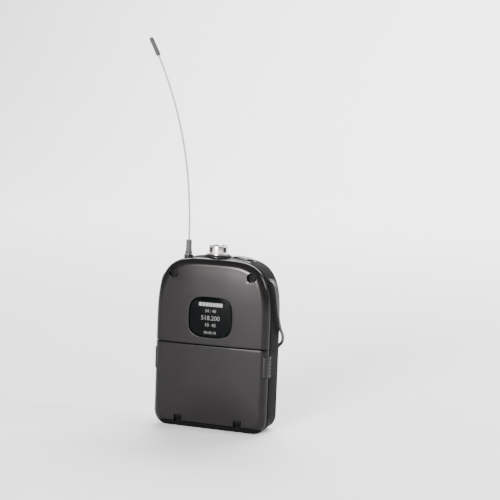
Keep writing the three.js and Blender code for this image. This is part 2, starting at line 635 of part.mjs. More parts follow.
function socketBezel() {
  const { radius, height, taper } = SOCKET_BEZEL;
  const disc = rodZ(radius, SOCKET.x, TOP_Y, SOCKET_BASE, SOCKET_BASE + height, 24, radius - taper);
  return cut(disc, rodZ(SOCKET.outerRadius + GAP, SOCKET.x, TOP_Y, BORE_FLOOR, SOCKET.top, 24));
}

// A bar that reaches out from the socket's axis, turned about that axis.
function socketBar(from, to, halfWidth, low, high, angle) {
  const bar = box(from, -halfWidth, low, to, halfWidth, high);
  return bar.rotate([0, 0, angle]).translate([SOCKET.x, TOP_Y, 0]);
}

function socketBarrel() {
  const { x, outerRadius, innerRadius, low, top } = SOCKET;
  const outside = join(
    rodZ(outerRadius - 0.3, x, TOP_Y, low, SOCKET.floor, 24),
    rodZ(outerRadius, x, TOP_Y, SOCKET.floor - 0.5, top, 24),
  );
  const bore = rodZ(innerRadius, x, TOP_Y, low - 1, top + 1, 24);
  const reach = outerRadius + 1;
  const windows = SOCKET_WINDOW.angles.map((angle) =>
    socketBar(-reach, reach, SOCKET_WINDOW.halfWidth, SOCKET_WINDOW.low, SOCKET_WINDOW.high, angle));
  const keyway = socketBar(0, reach, SOCKET_KEY.halfWidth, SOCKET_KEY.low, top + 1, SOCKET_KEY.angle);
  return cut(outside, bore, ...windows, keyway);
}

function socketInsert() {
  const disc = rodZ(SOCKET.innerRadius - GAP, SOCKET.x, TOP_Y, SOCKET.low + 0.5, SOCKET.floor, 24);
  return cut(disc, ...pinPlaces().map(([x, y]) => rodZ(PIN.holeRadius, x, y, PIN.low, PIN.high, 10)));
}

function pinPlaces() {
  return Array.from({ length: PIN.count }, (_, index) => {
    const angle = (Math.PI * (1 + 2 * index)) / PIN.count;
    return [SOCKET.x + PIN.circle * Math.cos(angle), TOP_Y + PIN.circle * Math.sin(angle)];
  });
}

addPiece('socket_bezel', socketBezel(), BLACK_PLASTIC);
addPiece('socket_barrel', socketBarrel(), NICKEL);
addPiece('socket_insert', socketInsert(), BLACK_PLASTIC);
for (const [index, [x, y]] of pinPlaces().entries()) {
  addPiece(`socket_pin_${index + 1}`, rodZ(PIN.radius, x, y, PIN.low, PIN.high, 8), GOLD);
}

// ---- antenna ------------------------------------------------------------------------

const FERRULE_LIFT = JACK.flangeHeight + 2 * GAP;

function antennaJack() {
  const { x, seat } = ANTENNA;
  const { radius, flangeRadius, flangeHeight, boreRadius, boreFloor } = JACK;
  const flange = rodZ(flangeRadius, x, TOP_Y, seat + GAP, seat + GAP + flangeHeight, 6);
  const body = join(rodZ(radius, x, TOP_Y, BORE_FLOOR, seat + 0.5), flange);
  return cut(body, rodZ(boreRadius, x, TOP_Y, boreFloor, CASE.height + 2));
}

function antennaBoot() {
  const { x, bootTop } = ANTENNA;
  const { radius, skirt, waist, neck, top } = BOOT;
  const seat = ANTENNA.seat + FERRULE_LIFT;
  const profile = [[0, seat], [radius, seat], [radius, seat + skirt], [waist, seat + skirt + 1.1]];
  profile.push([neck, seat + skirt + 2.1], [neck - 0.1, bootTop - 0.3], [top, bootTop], [0, bootTop]);
  const points = profile.map(([r, z]) => new THREE.Vector2(r, z));
  const body = new THREE.LatheGeometry(points, 14).rotateX(Math.PI / 2);
  const room = rodZ(BOOT_ROOM.radius, x, TOP_Y, seat - 1, seat + BOOT_ROOM.height);
  return cut(solidOf(body.translate(x, TOP_Y, 0)), room, whipRod(WHIP_RADIUS + GAP, 0, 0.1, 4));
}

function antennaFerrule() {
  const { radius, height, studRadius, studFoot } = FERRULE;
  const foot = ANTENNA.seat + FERRULE_LIFT;
  const collar = rodZ(radius, ANTENNA.x, TOP_Y, foot, foot + height);
  return join(collar, rodZ(studRadius, ANTENNA.x, TOP_Y, studFoot, foot + 0.1, 12));
}

// The whip stands straight at its foot and bends over towards -X, more and more with height.
class WhipCurve extends THREE.Curve {
  constructor(from, to) {
    super();
    this.from = from;
    this.to = to;
  }

  getPoint(t, target = new THREE.Vector3()) {
    const share = this.from + (this.to - this.from) * t;
    const z = ANTENNA.foot + (ANTENNA.tip - ANTENNA.foot) * share;
    const bend = Math.max(0, (z - ANTENNA.bootTop) / (ANTENNA.tip - ANTENNA.bootTop));
    return target.set(ANTENNA.x - ANTENNA.lean * bend ** ANTENNA.bend, TOP_Y, z);
  }
}

function whipRod(radius, from, to, steps) {
  return sweep(new WhipCurve(from, to), radius, 8, steps);
}

function antennaCap() {
  const share = 1 - ANTENNA_CAP.length / (ANTENNA.tip - ANTENNA.foot);
  const bore = whipRod(WHIP_RADIUS + GAP, share - 0.02, WHIP_END + 0.005, 8);
  return cut(whipRod(ANTENNA_CAP.radius, share, 1, 4), bore);
}

addPiece('antenna_jack', antennaJack(), DARK_STEEL);
addPiece('antenna_ferrule', antennaFerrule(), NICKEL);
addPiece('antenna_boot', antennaBoot(), RUBBER);
addPiece('antenna_whip', whipRod(WHIP_RADIUS, 0, WHIP_END, 20), WHIP);
addPiece('antenna_cap', antennaCap(), RUBBER);

// ---- power button -------------------------------------------------------------------

const POWER_LOW = 94.5;
const SKY = CASE.height + 12;

function powerRim() {
  const { x, y, length, width, rim } = POWER;
  const outline = stadium(x, y, length + 2 * rim, width + 2 * rim);
  const crown = caseSolid(-0.5).intersect(plateZ(outline, POWER_LOW + 0.1, SKY));
  return cut(crown, plateZ(stadium(x, y, length + 2 * GAP, width + 2 * GAP), BORE_FLOOR, SKY));
}

function powerButton() {
  const { x, y, length, width, proud } = POWER;
  const cap = caseSolid(-proud).intersect(plateZ(stadium(x, y, length, width), POWER_LOW, SKY));
  const flange = plateZ(stadium(x, y, length + 1.6, width + 1.6), POWER_LOW - 1.1, POWER_LOW - 0.4);
  const stem = plateZ(stadium(x, y, length, width), POWER_LOW - 0.5, POWER_LOW + 0.5);
  const dish = new THREE.SphereGeometry(DISH.radius, 28, 16);
  dish.translate(x, y, CASE.height + proud + DISH.radius - DISH.depth);
  return cut(join(cap, flange, stem), solidOf(dish));
}

function powerSwitch() {
  const { x, y } = POWER;
  const { halfWidth, low, high, stemRadius, stemTop } = POWER_SWITCH;
  const body = box(x - halfWidth, BOARD.back + GAP, low, x + halfWidth, y + 2.6, high);
  return join(body, rodZ(stemRadius, x, y, high - 0.1, stemTop, 12));
}

function ledBar() {
  const { x, y, length, width } = LED_BAR;
  return caseSolid(-0.25).intersect(plateZ(stadium(x, y, length, width), POWER_LOW + 0.3, SKY, 3));
}

addPiece('power_rim', powerRim(), BLACK_PLASTIC);
addPiece('power_button', powerButton(), GLOSS_BLACK);
addPiece('power_switch', powerSwitch(), BLACK_PLASTIC);
addPiece('power_light', ledBar(), LIGHT_GUIDE);

// ---- belt clip ----------------------------------------------------------------------

function beltClip() {
  const { side, socketY, socketZ } = CLIP;
  const half = [
    [27.7, socketY, socketZ],
    [30.6, socketY, socketZ],
    [32.5, socketY, socketZ - 0.7],
    [33.9, socketY, socketZ - 3.4],
    [34.9, -0.1, 78],
    [side, 1.2, 69],
    [side, 6.6, 60],
    [side - 0.3, 13.6, 54],
    [33.6, 17.6, 49.5],
    [29.6, 18.8, 45],
    [24.8, 18.9, 39],
    [20.8, 18.6, 31],
    [18.6, 17, 22],
    [17.6, 15, 14],
    [15.6, 14.5, 9.6],
    [11.6, 14.4, 7.4],
  ];
  const other = half.map(([x, y, z]) => [-x, y, z]).reverse();
  const points = [...half, [0, 14.4, 7], ...other];
  const places = points.map((p) => new THREE.Vector3(...p));
  const curve = new THREE.CatmullRomCurve3(places, false, 'centripetal');
  return sweep(curve, CLIP.wire, 8, 56);
}

addPiece('belt_clip', beltClip(), DARK_STEEL);

export default object;
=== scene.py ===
from math import acos, copysign, cos, hypot, pi, radians, sin, sqrt, tan

import bmesh
import bpy
from mathutils import Matrix, Vector


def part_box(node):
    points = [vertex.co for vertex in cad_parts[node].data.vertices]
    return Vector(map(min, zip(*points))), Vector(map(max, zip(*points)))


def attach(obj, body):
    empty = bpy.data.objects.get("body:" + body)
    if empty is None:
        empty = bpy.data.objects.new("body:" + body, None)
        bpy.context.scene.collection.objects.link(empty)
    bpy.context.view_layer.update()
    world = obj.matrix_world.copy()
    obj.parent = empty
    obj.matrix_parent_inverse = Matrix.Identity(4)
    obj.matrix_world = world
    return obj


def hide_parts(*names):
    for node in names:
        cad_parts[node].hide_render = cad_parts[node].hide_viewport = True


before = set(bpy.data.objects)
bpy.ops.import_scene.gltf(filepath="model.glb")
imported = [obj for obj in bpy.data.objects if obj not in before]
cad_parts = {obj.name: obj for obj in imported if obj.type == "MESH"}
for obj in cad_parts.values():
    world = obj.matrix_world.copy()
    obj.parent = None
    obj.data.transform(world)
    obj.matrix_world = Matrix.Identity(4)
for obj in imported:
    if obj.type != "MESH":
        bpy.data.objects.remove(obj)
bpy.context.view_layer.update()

# A wireless bodypack transmitter. Lengths are in millimetres unless a name says otherwise,
# in the CAD frame: +Z up, +X right seen from the display side, the display faces -Y.

MM = 0.001
TAU = 2 * pi


def box_mm(node):
    low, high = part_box(node)
    return low / MM, high / MM


# ---- sizes read from the frame ----

HALF, BACK, HEIGHT = box_mm("rear_shell")[1]
FRONT = -BACK
COVER_LOW, COVER_HIGH = box_mm("front_shell")
COVER_BOTTOM = COVER_LOW.z
SEAM_FRONT = COVER_HIGH.y
SEAM_REAR = SEAM_FRONT + 1.2
DOOR_TOP = box_mm("battery_door")[1].z
PIN_LOW, PIN_HIGH = box_mm("door_hinge_pin")
PIN_Y = (PIN_LOW.y + PIN_HIGH.y) / 2
PIN_Z = (PIN_LOW.z + PIN_HIGH.z) / 2
BARREL_LOW, BARREL_HIGH = box_mm("socket_barrel")
TOP_Y = (BARREL_LOW.y + BARREL_HIGH.y) / 2
BOOT_LOW, BOOT_HIGH = box_mm("antenna_boot")
WHIP_FOOT = box_mm("antenna_whip")[0].z

# ---- driving dimensions, as in the CAD model ----

ARCH_CENTRE = 54.0
ARCH_POWER = 3.9
RISE = HEIGHT - ARCH_CENTRE
CORNER = 8.0
FRONT_ROLL = 4.6
REAR_ROLL = 3.0
DOME = 1.2
DOME_REACH = 30.0
WALL = 1.6
GAP = 0.3
EDGE = 0.35

CHIN_TOP = 5.4
BEAD_RADIUS = 3.6
SWEEP_RADIUS = 3.9
PIN_BORE = 1.1
KNUCKLE = {"x": 18.0, "width": 4.0, "radius": 2.4}

WINDOW = {"z": 65.0, "width": 25.8, "height": 22.9, "power": 3.4, "recess": 0.6}
SCREW = {"x": 23.3, "z": 88.9, "bore": 2.75, "seat": -8.2}
SOCKET = {"x": (BARREL_LOW.x + BARREL_HIGH.x) / 2, "outer": 5.5, "foot": 5.2, "bore": 4.8, "base": 7.5,
          "floor": 96.5, "pin_circle": 2.4}
SOCKET_WINDOW = {"low": 101.0, "high": 103.8, "width": 2.2, "angles": (-30, 60)}
SOCKET_KEY = {"low": 101.6, "width": 1.6, "angle": 105}
ANTENNA = {"x": (BOOT_LOW.x + BOOT_HIGH.x) / 2, "seat": 97.4, "jack": 2.6, "flange": 3.0, "bore": 1.5}
WHIP = {"radius": 0.5, "lean": 27.6, "bend": 2.25, "tip": 221.2, "cap_length": 10.3, "cap_radius": 1.25}
POWER = {"x": 13.8, "y": 2.4, "length": 12.0, "width": 7.0, "rim": 1.2, "proud": 1.3, "dish": 0.55}
LIGHT = {"x": 13.6, "y": -3.8, "length": 12.4, "width": 1.0, "proud": 0.4}
TAB = {"low": 33.0, "high": 45.0, "front": -10.6, "rear": -4.2, "inner": 30.9, "proud": 0.45}
SPRING = {"y": -8, "z": 39, "start": 27.62, "length": 3.26, "coil": 1.2, "wire": 0.22}
CLIP = {"wire": 0.95, "bore": 1.3, "end": 26.8, "y": -0.5, "z": 87.0, "side": 35.4}
REAR_LABEL = {"z": 66, "width": 31, "height": 25}
CHARGE_SLOT = {"x": 9, "y": 5, "length": 7.6, "width": 3.8}
TRAY_SCREW = {"x": 25, "z": 43.6, "seat": -5.6, "tip": 2.0, "head": 2.0}
MENU_KEY = {"width": 5.2, "height": 3.4, "corner": 0.8}
OUTSIDE = HALF + 2


# ---- materials ----


def new_material(name):
    material = bpy.data.materials.new(name)
    material.use_nodes = True
    nodes = material.node_tree.nodes
    return material, nodes, material.node_tree.links, nodes["Principled BSDF"]


def add_noise(nodes, links, scale, detail=3.0):
    place = nodes.new("ShaderNodeTexCoord")
    noise = nodes.new("ShaderNodeTexNoise")
    noise.inputs["Scale"].default_value = scale
    noise.inputs["Detail"].default_value = detail
    links.new(place.outputs["Object"], noise.inputs["Vector"])
    return noise.outputs["Fac"]


def add_range(nodes, links, source, low, high):
    remap = nodes.new("ShaderNodeMapRange")
    remap.inputs["To Min"].default_value = low
    remap.inputs["To Max"].default_value = high
    links.new(source, remap.inputs["Value"])
    return remap.outputs["Result"]


def add_mix(nodes, links, factor, first, second):
    mix = nodes.new("ShaderNodeMix")
    mix.data_type = "RGBA"
    mix.inputs["A"].default_value = (*first, 1)
    mix.inputs["B"].default_value = (*second, 1)
    links.new(factor, mix.inputs["Factor"])
    return mix.outputs["Result"]


def surface(name, color, rough, metal=0.0, tint=0.25, spread=0.06, grain=900.0, bump=0.05, specular=0.5):
    """A painted, moulded or plated surface: mottled colour, uneven gloss and a fine grain."""
    material, nodes, links, shader = new_material(name)
    cloud = add_noise(nodes, links, 60.0)
    fine = add_noise(nodes, links, grain, 4.0)
    darker = tuple(c * (1 - tint) for c in color)
    lighter = tuple(c * (1 + tint) for c in color)
    links.new(add_mix(nodes, links, cloud, darker, lighter), shader.inputs["Base Color"])
    links.new(add_range(nodes, links, cloud, rough - spread, rough + spread), shader.inputs["Roughness"])
    height = nodes.new("ShaderNodeBump")
    height.inputs["Strength"].default_value = bump
    height.inputs["Distance"].default_value = 0.0001
    links.new(fine, height.inputs["Height"])
    links.new(height.outputs["Normal"], shader.inputs["Normal"])
    shader.inputs["Metallic"].default_value = metal
    shader.inputs["Specular IOR Level"].default_value = specular
    return material


def glowing(name, color, strength):
    material, nodes, links, shader = new_material(name)
    cloud = add_noise(nodes, links, 400.0)
    dim = tuple(c * 0.85 for c in color)
    tone = add_mix(nodes, links, cloud, dim, color)
    links.new(tone, shader.inputs["Base Color"])
    links.new(tone, shader.inputs["Emission Color"])
    shader.inputs["Emission Strength"].default_value = strength
    shader.inputs["Roughness"].default_value = 0.4
    return material


CASE_PAINT = surface("case_paint", (0.0052, 0.0048, 0.0048), 0.21, tint=0.1, spread=0.015, grain=1500.0,
                     specular=0.165)
# A darker, duller copy of the case paint for the rear shell: painted shade that keeps the case's sides and
# back dark.
SHADED_SHELL_PAINT = surface("shaded_shell_paint", (0.0030, 0.0029, 0.0030), 0.66, tint=0.1, spread=0.03, grain=1500.0,
                      bump=0.08, specular=0.035)
PLASTIC = surface("black_plastic", (0.007, 0.007, 0.0073), 0.55, grain=2200.0, bump=0.2, specular=0.2)
GLOSS = surface("gloss_black", (0.0008, 0.0014, 0.0015), 0.09, spread=0.01, bump=0.0, specular=0.04)
KEY_GLOSS = surface("polished_key", (0.003, 0.0032, 0.0034), 0.2, spread=0.02, bump=0.0, specular=0.2)
RUBBER = surface("dark_rubber", (0.034, 0.034, 0.035), 0.72, grain=2600.0, bump=0.3, specular=0.3)
BOOT_RUBBER = surface("grey_rubber", (0.043, 0.043, 0.044), 0.7, grain=2600.0, bump=0.3, specular=0.3)
SCREW_BLACK = surface("black_oxide", (0.004, 0.0038, 0.004), 0.55, tint=0.15, grain=1600.0, bump=0.1,
                      specular=0.06)
NICKEL = surface("nickel_plate", (0.66, 0.64, 0.60), 0.2, 1.0, 0.06, 0.05, 1200.0, 0.04)
STEEL = surface("plain_steel", (0.46, 0.46, 0.47), 0.32, 1.0, 0.1, 0.06, 1200.0, 0.08)
DARK_STEEL = surface("blackened_steel", (0.022, 0.022, 0.024), 0.36, 0.7, 0.15, 0.06, 1600.0, 0.1, 0.3)
CLIP_METAL = surface("clip_wire_plate", (0.06, 0.06, 0.062), 0.3, 0.85, 0.12, 0.05, 1400.0, 0.06, 0.3)
GOLD = surface("gold_plate", (0.83, 0.56, 0.2), 0.2, 1.0, 0.06, 0.05, 1200.0, 0.04)
WHIP_COAT = surface("whip_coating", (0.2, 0.2, 0.202), 0.45, 0.1, 0.05, 0.04, 1800.0, 0.08)
BOARD_MASK = surface("solder_mask", (0.015, 0.085, 0.04), 0.35, tint=0.3, grain=500.0, bump=0.1)
CELL_WRAP = surface("cell_wrap", (0.60, 0.61, 0.60), 0.3, 0.15, 0.03, 0.04, 300.0, 0.03)
LABEL = surface("label_film", (0.010, 0.010, 0.011), 0.3, grain=1200.0, bump=0.08, specular=0.12)
PRINT_WHITE = glowing("bright_segments", (0.11, 0.114, 0.116), 0.1)
PRINT_MID = glowing("middle_segments", (0.031, 0.03, 0.031), 0.1)
PRINT_DIM = glowing("dim_segments", (0.025, 0.0265, 0.0265), 0.1)
PRINT_GREY = surface("grey_print", (0.3, 0.31, 0.31), 0.5, bump=0.02)
LED_GREEN = glowing("green_light_guide", (0.085, 0.13, 0.1), 0.2)


# ---- mesh tools ----


def shade(obj, sharp_degrees=38.0, weld=2e-6):
    """Smooth shading, with edges kept sharp where faces meet at more than the given angle."""
    mesh = bmesh.new()
    mesh.from_mesh(obj.data)
    bmesh.ops.remove_doubles(mesh, verts=mesh.verts, dist=weld)
    bmesh.ops.dissolve_degenerate(mesh, edges=mesh.edges, dist=weld / 2)
    bmesh.ops.recalc_face_normals(mesh, faces=mesh.faces)
    for face in mesh.faces:
        face.smooth = True
    limit = radians(sharp_degrees)
    for edge in mesh.edges:
        edge.smooth = len(edge.link_faces) == 2 and edge.calc_face_angle(0.0) < limit
    mesh.to_mesh(obj.data)
    mesh.free()
    return obj


def new_object(name, data):
    obj = bpy.data.objects.new(name, data)
    bpy.context.scene.collection.objects.link(obj)
    return obj


def raw_object(name, points, faces):
    mesh = bpy.data.meshes.new(name)
    mesh.from_pydata([(x * MM, y * MM, z * MM) for x, y, z in points], [], faces)
    mesh.validate()
    return new_object(name, mesh)


def solid(name, points, faces):
    return shade(raw_object(name, points, faces))


def replace_mesh(obj):
    """Bakes the object's modifiers into its mesh."""
    graph = bpy.context.evaluated_depsgraph_get()
    baked = bpy.data.meshes.new_from_object(obj.evaluated_get(graph))
    obj.modifiers.clear()
    obj.data = baked
    return obj


def carve(obj, tool, operation="DIFFERENCE"):
    modifier = obj.modifiers.new("carve", "BOOLEAN")
    modifier.operation = operation
    modifier.solver = "EXACT"
    modifier.object = tool
    replace_mesh(obj)
    bpy.data.objects.remove(tool)
    return obj


def cut(obj, *tools):
    for tool in tools:
        carve(obj, tool)
    return shade(obj)


def merged(name, *parts):
    """Several closed meshes as one object."""
    mesh = bmesh.new()
    for part in parts:
        mesh.from_mesh(part.data)
        bpy.data.objects.remove(part)
    target = bpy.data.meshes.new(name)
    mesh.to_mesh(target)
    mesh.free()
    return new_object(name, target)


def mirrored(obj, name):
    copy = new_object(name, obj.data.copy())
    copy.data.transform(Matrix.Scale(-1, 4, (1, 0, 0)))
    copy.data.flip_normals()
    return shade(copy)


def skin_rings(rings, caps=True, close=False):
    """Points and faces of a skin over closed rings with equal point counts."""
    count = len(rings[0])
    points = [point for ring in rings for point in ring]
    faces = []
    rows = len(rings) if close else len(rings) - 1
    for row in range(rows):
        upper = ((row + 1) % len(rings)) * count
        for i in range(count):
            j = (i + 1) % count
            faces.append((row * count + i, row * count + j, upper + j, upper + i))
    if caps and not close:
        faces.append(tuple(reversed(range(count))))
        faces.append(tuple(range((len(rings) - 1) * count, len(rings) * count)))
    return points, faces


def rounded_path(corners, steps=5):
    """A polyline of (u, v, radius) corners with each corner turned into an arc."""
    path = []
    for index, (u, v, radius) in enumerate(corners):
        here = Vector((u, v))
        if radius <= 0 or index in (0, len(corners) - 1):
            path.append((u, v))
            continue
        before = Vector(corners[index - 1][:2]) - here
        after = Vector(corners[index + 1][:2]) - here
        half_angle = before.angle(after) / 2
        reach = min(radius / tan(half_angle), before.length * 0.49, after.length * 0.49)
        radius = reach * tan(half_angle)
        middle = (before.normalized() + after.normalized()).normalized()
        centre = here + middle * (radius / sin(half_angle))
        start = here + before.normalized() * reach - centre
        end = here + after.normalized() * reach - centre
        sweep = start.angle_signed(end)
        for step in range(steps + 1):
            turn = Matrix.Rotation(-sweep * step / steps, 2)
            point = centre + turn @ start
            path.append((point.x, point.y))
    return path


def circle(axis, along, radius, first, second, sides):
    """Points round an axis along X, Y or Z; first and second are its place on the other two."""
    ring = []
    for i in range(sides):
        a = first + radius * cos(TAU * i / sides)
        b = second + radius * sin(TAU * i / sides)
        ring.append({"X": (along, a, b), "Y": (a, along, b), "Z": (a, b, along)}[axis])
    return ring


def turned(name, axis, corners, first, second, sides=40):
    """A turned piece; corners are (radius, place along the axis, rounding)."""
    profile = [(max(radius, 1e-4), along) for radius, along in rounded_path(corners)]
    rings = [circle(axis, along, radius, first, second, sides) for radius, along in profile]
    return solid(name, *skin_rings(rings))


def turned_ring(name, corners, x, y, sides=64):
    """A turned ring about a vertical axis, whose section closes on itself."""
    profile = rounded_path([corners[-1], *corners, corners[0]])[1:-1]
    rings = [circle("Z", z, radius, x, y, sides) for radius, z in profile]
    return solid(name, *skin_rings(rings, close=True))


def rod(name, axis, radius, start, end, first, second, sides=48):
    """A plain cylinder."""
    rings = [circle(axis, along, radius, first, second, sides) for along in (start, end)]
    return solid(name, *skin_rings(rings))


def block(name, low, high):
    (x0, y0, z0), (x1, y1, z1) = low, high
    ring = [(x0, y0), (x1, y0), (x1, y1), (x0, y1)]
    rings = [[(x, y, z) for x, y in ring] for z in (z0, z1)]
    return raw_object(name, *skin_rings(rings))


def tube(name, path, radius_at, sides=16):
    """A round bar along a path; radius_at gives the radius at a share of the path."""
    points = [Vector(p) for p in path]
    last = len(points) - 1
    normal = Vector((0.3, 1, 0.2))
    rings = []
    for index, point in enumerate(points):
        ahead = points[min(index + 1, last)] - points[max(index - 1, 0)]
        ahead.normalize()
        normal = (normal - ahead * normal.dot(ahead)).normalized()
        across = ahead.cross(normal)
        radius = radius_at(index / last)
        ring = []
        for i in range(sides):
            spoke = normal * cos(TAU * i / sides) + across * sin(TAU * i / sides)
            ring.append(tuple(point + spoke * radius))
        rings.append(ring)
    return solid(name, *skin_rings(rings))


def power(value, exponent):
    return copysign(abs(value) ** exponent, value)


def squircle(width, height, exponent, centre_u, centre_v, steps=96):
    """An outline that can grow by a margin."""
    def outline(grow=0.0):
        points = []
        for i in range(steps):
            angle = TAU * i / steps
            u = (width / 2 + grow) * power(cos(angle), 2 / exponent)
            v = (height / 2 + grow) * power(sin(angle), 2 / exponent)
            points.append((centre_u + u, centre_v + v))
        return points
    return outline


def rounded_box(centre_u, centre_v, length, width, corner, steps=6):
    def outline(grow=0.0):
        radius = corner + grow
        points = []
        for quarter, (side_u, side_v) in enumerate(((1, 1), (-1, 1), (-1, -1), (1, -1))):
            u = centre_u + side_u * (length / 2 - corner)
            v = centre_v + side_v * (width / 2 - corner)
            for i in range(steps + 1):
                angle = pi / 2 * (quarter + i / steps)
                points.append((u + radius * cos(angle), v + radius * sin(angle)))
        return points
    return outline


def stadium(centre_u, centre_v, length, width, steps=20):
    def outline(grow=0.0):
        radius = width / 2 + grow
        points = []
        for side in (1, -1):
            for i in range(steps + 1):
                angle = pi * (i / steps - side / 2)
                u = centre_u + side * (length - width) / 2 + radius * cos(angle)
                points.append((u, centre_v + radius * sin(angle)))
        return points
    return outline


def slab(name, outline, levels, place):
    """A closed piece through outlines of (grow, height) levels, placed by place(u, v, height)."""
    rings = [[place(u, v, height) for u, v in outline(grow)] for grow, height in levels]
    return solid(name, *skin_rings(rings))


def quarter_round(edge, steps):
    """How far each point of a rounded edge lies inside its two faces."""
    angles = [pi / 2 * i / steps for i in range(steps + 1)]
    return [(edge * (1 - cos(angle)), edge * (1 - sin(angle))) for angle in angles]


def rounded_levels(low, high, edge, steps=5, low_edge=0.0):
    """Levels of a plate from low to high with its upper edge, and perhaps its lower one, rounded."""
    levels = [(0.0, low)]
    if low_edge > 0:
        levels = [(-inset, low + depth) for depth, inset in quarter_round(low_edge, steps)]
    return levels + [(-inset, high - depth) for inset, depth in quarter_round(edge, steps)]


def facing_front(u, v, height):
    """Heights are measured towards the front."""
    return (u, -height, v)


def facing_back(u, v, height):
    return (u, height, v)


def facing_up(u, v, height):
    return (u, v, height)


# ---- case form ----


def top_height(x):
    return ARCH_CENTRE + RISE * (1 - (abs(x) / HALF) ** ARCH_POWER) ** (1 / ARCH_POWER)


def on_top(u, v, height):
    """Heights are measured from the curved top of the case."""
    return (u, v, top_height(u) + height)


# A column gives the (x, z) of the outline at an inset from the outer skin. Those of the sides and
# corners are on the right, and mirror_column makes their left ones.


def mirror_column(column):
    def point(inset):
        x, z = column(inset)
        return -x, z
    return point


def side_column(z):
    return lambda inset: (HALF - inset, z)


def lower_side_column(z, share):
    """From height z down to where the lower corner starts."""
    return lambda inset: (HALF - inset, z + (inset + min(CORNER, HALF - inset) - z) * share)


def arch_column(angle):
    def point(inset):
        x = (HALF - inset) * power(cos(angle), 2 / ARCH_POWER)
        return x, ARCH_CENTRE + (RISE - inset) * abs(sin(angle)) ** (2 / ARCH_POWER)
    return point


def corner_column(angle):
    def point(inset):
        corner = min(CORNER, HALF - inset)
        return HALF - inset - corner + corner * sin(angle), inset + corner * (1 - cos(angle))
    return point


def base_column(share):
    def point(inset):
        reach = HALF - inset - min(CORNER, HALF - inset)
        return reach * share, inset
    return point


def inset_at(x, z):
    """How far inside the case outline a point of the upper front lies."""
    low, high = 0.0, HALF
    for _ in range(40):
        inset = (low + high) / 2
        across = abs(x) / max(HALF - inset, 1e-6)
        up = max(z - ARCH_CENTRE, 0) / max(RISE - inset, 1e-6)
        if across ** ARCH_POWER + up ** ARCH_POWER < 1:
            low = inset
        else:
            high = inset
    return low


def dome_height(inset):
    reach = min(1.0, (inset - FRONT_ROLL) / (DOME_REACH - FRONT_ROLL))
    return FRONT + DOME * (1 - reach) ** 2


def front_height(x, z):
    """The y of the outer front surface."""
    inset = inset_at(x, z)
    if inset >= FRONT_ROLL:
        return dome_height(inset)
    lift = FRONT_ROLL - sqrt(max(FRONT_ROLL ** 2 - (FRONT_ROLL - inset) ** 2, 0))
    return FRONT + DOME + lift


SEAM_TURN = acos((FRONT + DOME + FRONT_ROLL - SEAM_FRONT + EDGE) / FRONT_ROLL)
INNERMOST = 33.4


def stations_over(face, face_steps, roll, roll_y, inward, end, roll_steps):
    """Functions of the skin depth that give (inset, y), from the middle of a face to the side.

    face gives the y of the face at an inset. The roll of the given radius starts at roll_y and
    turns up to the angle end; inward is +1 where the skin lies at a greater y than the face.
    """
    stations = []
    for i in range(face_steps):
        inset = INNERMOST + (roll - INNERMOST) * i / face_steps
        stations.append(lambda skin, inset=inset: (inset, face(inset) + inward * skin))
    for i in range(roll_steps + 1):
        angle = end * i / roll_steps

        def station(skin, angle=angle):
            inset = roll * (1 - sin(angle)) + skin * sin(angle)
            return inset, roll_y + inward * (roll * (1 - cos(angle)) + skin * cos(angle))
        stations.append(station)
    return stations


def front_stations(end=SEAM_TURN, roll_steps=12, dome_steps=14):
    """Over the domed front; by default up to where the seam's rounded rim starts."""
    return stations_over(dome_height, dome_steps, FRONT_ROLL, FRONT + DOME, 1, end, roll_steps)


def rear_stations(roll_steps=10, flat_steps=5):
    return stations_over(lambda inset: BACK, flat_steps, REAR_ROLL, BACK, -1, pi / 2, roll_steps)


def rim_stations(y, outward, edge=EDGE, steps=4):
    """Round the free edge of a wall that ends at y; outward is +1 where the edge faces +Y."""
    return [lambda skin, inset=inset, depth=depth: (inset + skin, y - outward * depth)
            for inset, depth in quarter_round(edge, steps)]


def cup(name, columns, closed, stations, rim, skin=WALL):
    """A thin-walled cover: outer stations, a rounded rim, then the same stations inside.

    Each column is (outline function, skin depth), so an edge can be rounded along the outline.
    An open cover is closed by walls at its two end columns, and its middle is zipped shut.
    """
    outer = [[(column, station(depth)) for column, depth in columns] for station in [*stations, *rim]]
    inner = [[(column, station(skin)) for column, _ in columns] for station in reversed(stations)]
    rim_y = rim[-1](0.0)[1]
    inner_rim = [(column, (inset, rim_y)) for column, (inset, _) in inner[0]]
    rows = [*outer, inner_rim, *inner]
    points = []
    for row in rows:
        for column, (inset, y) in row:
            x, z = column(inset)
            points.append((x, y, z))
    count = len(columns)
    faces = []
    reach = count if closed else count - 1
    for row in range(len(rows) - 1):
        for i in range(reach):
            j = (i + 1) % count
            faces.append((row * count + i, row * count + j, (row + 1) * count + j, (row + 1) * count + i))
    for row in (0, len(rows) - 1):
        faces.extend(zip_faces(row * count, count, closed))
    if not closed:
        last = len(rows) - 1
        inside = [last - row if row < len(stations) else len(outer) for row in range(len(outer))]
        for row in range(len(outer) - 1):
            wall = dict.fromkeys((row, row + 1, inside[row + 1], inside[row]))
            for column in (0, count - 1):
                faces.append(tuple(k * count + column for k in wall))
        faces.append((0, count - 1, last * count + count - 1, last * count))
    return solid(name, points, faces)


def zip_faces(start, count, closed):
    """Closes the innermost outline, which is symmetric left and right."""
    last = count if closed else count - 1
    faces = []
    for i in range(last // 2):
        ring = (i, i + 1, last - i - 1, last - i)
        faces.append(tuple(dict.fromkeys(start + k % count for k in ring)))
    return [face for face in faces if len(face) > 2]


def edge_columns(z, upward, edge=EDGE, steps=4):
    """Columns that round the straight edge of a cover at height z."""
    return [(side_column(z + upward * rise), depth) for rise, depth in quarter_round(edge, steps)[:-1]]


def plain(columns):
    """Columns with no rounding."""
    return [(column, 0.0) for column in columns]


def mirror_columns(columns):
    return [(mirror_column(column), depth) for column, depth in columns]


def arch_spread(share):
    """Spreads the arch's points so that they lie evenly along it."""
    return share - 0.055 * sin(2 * TAU * share)


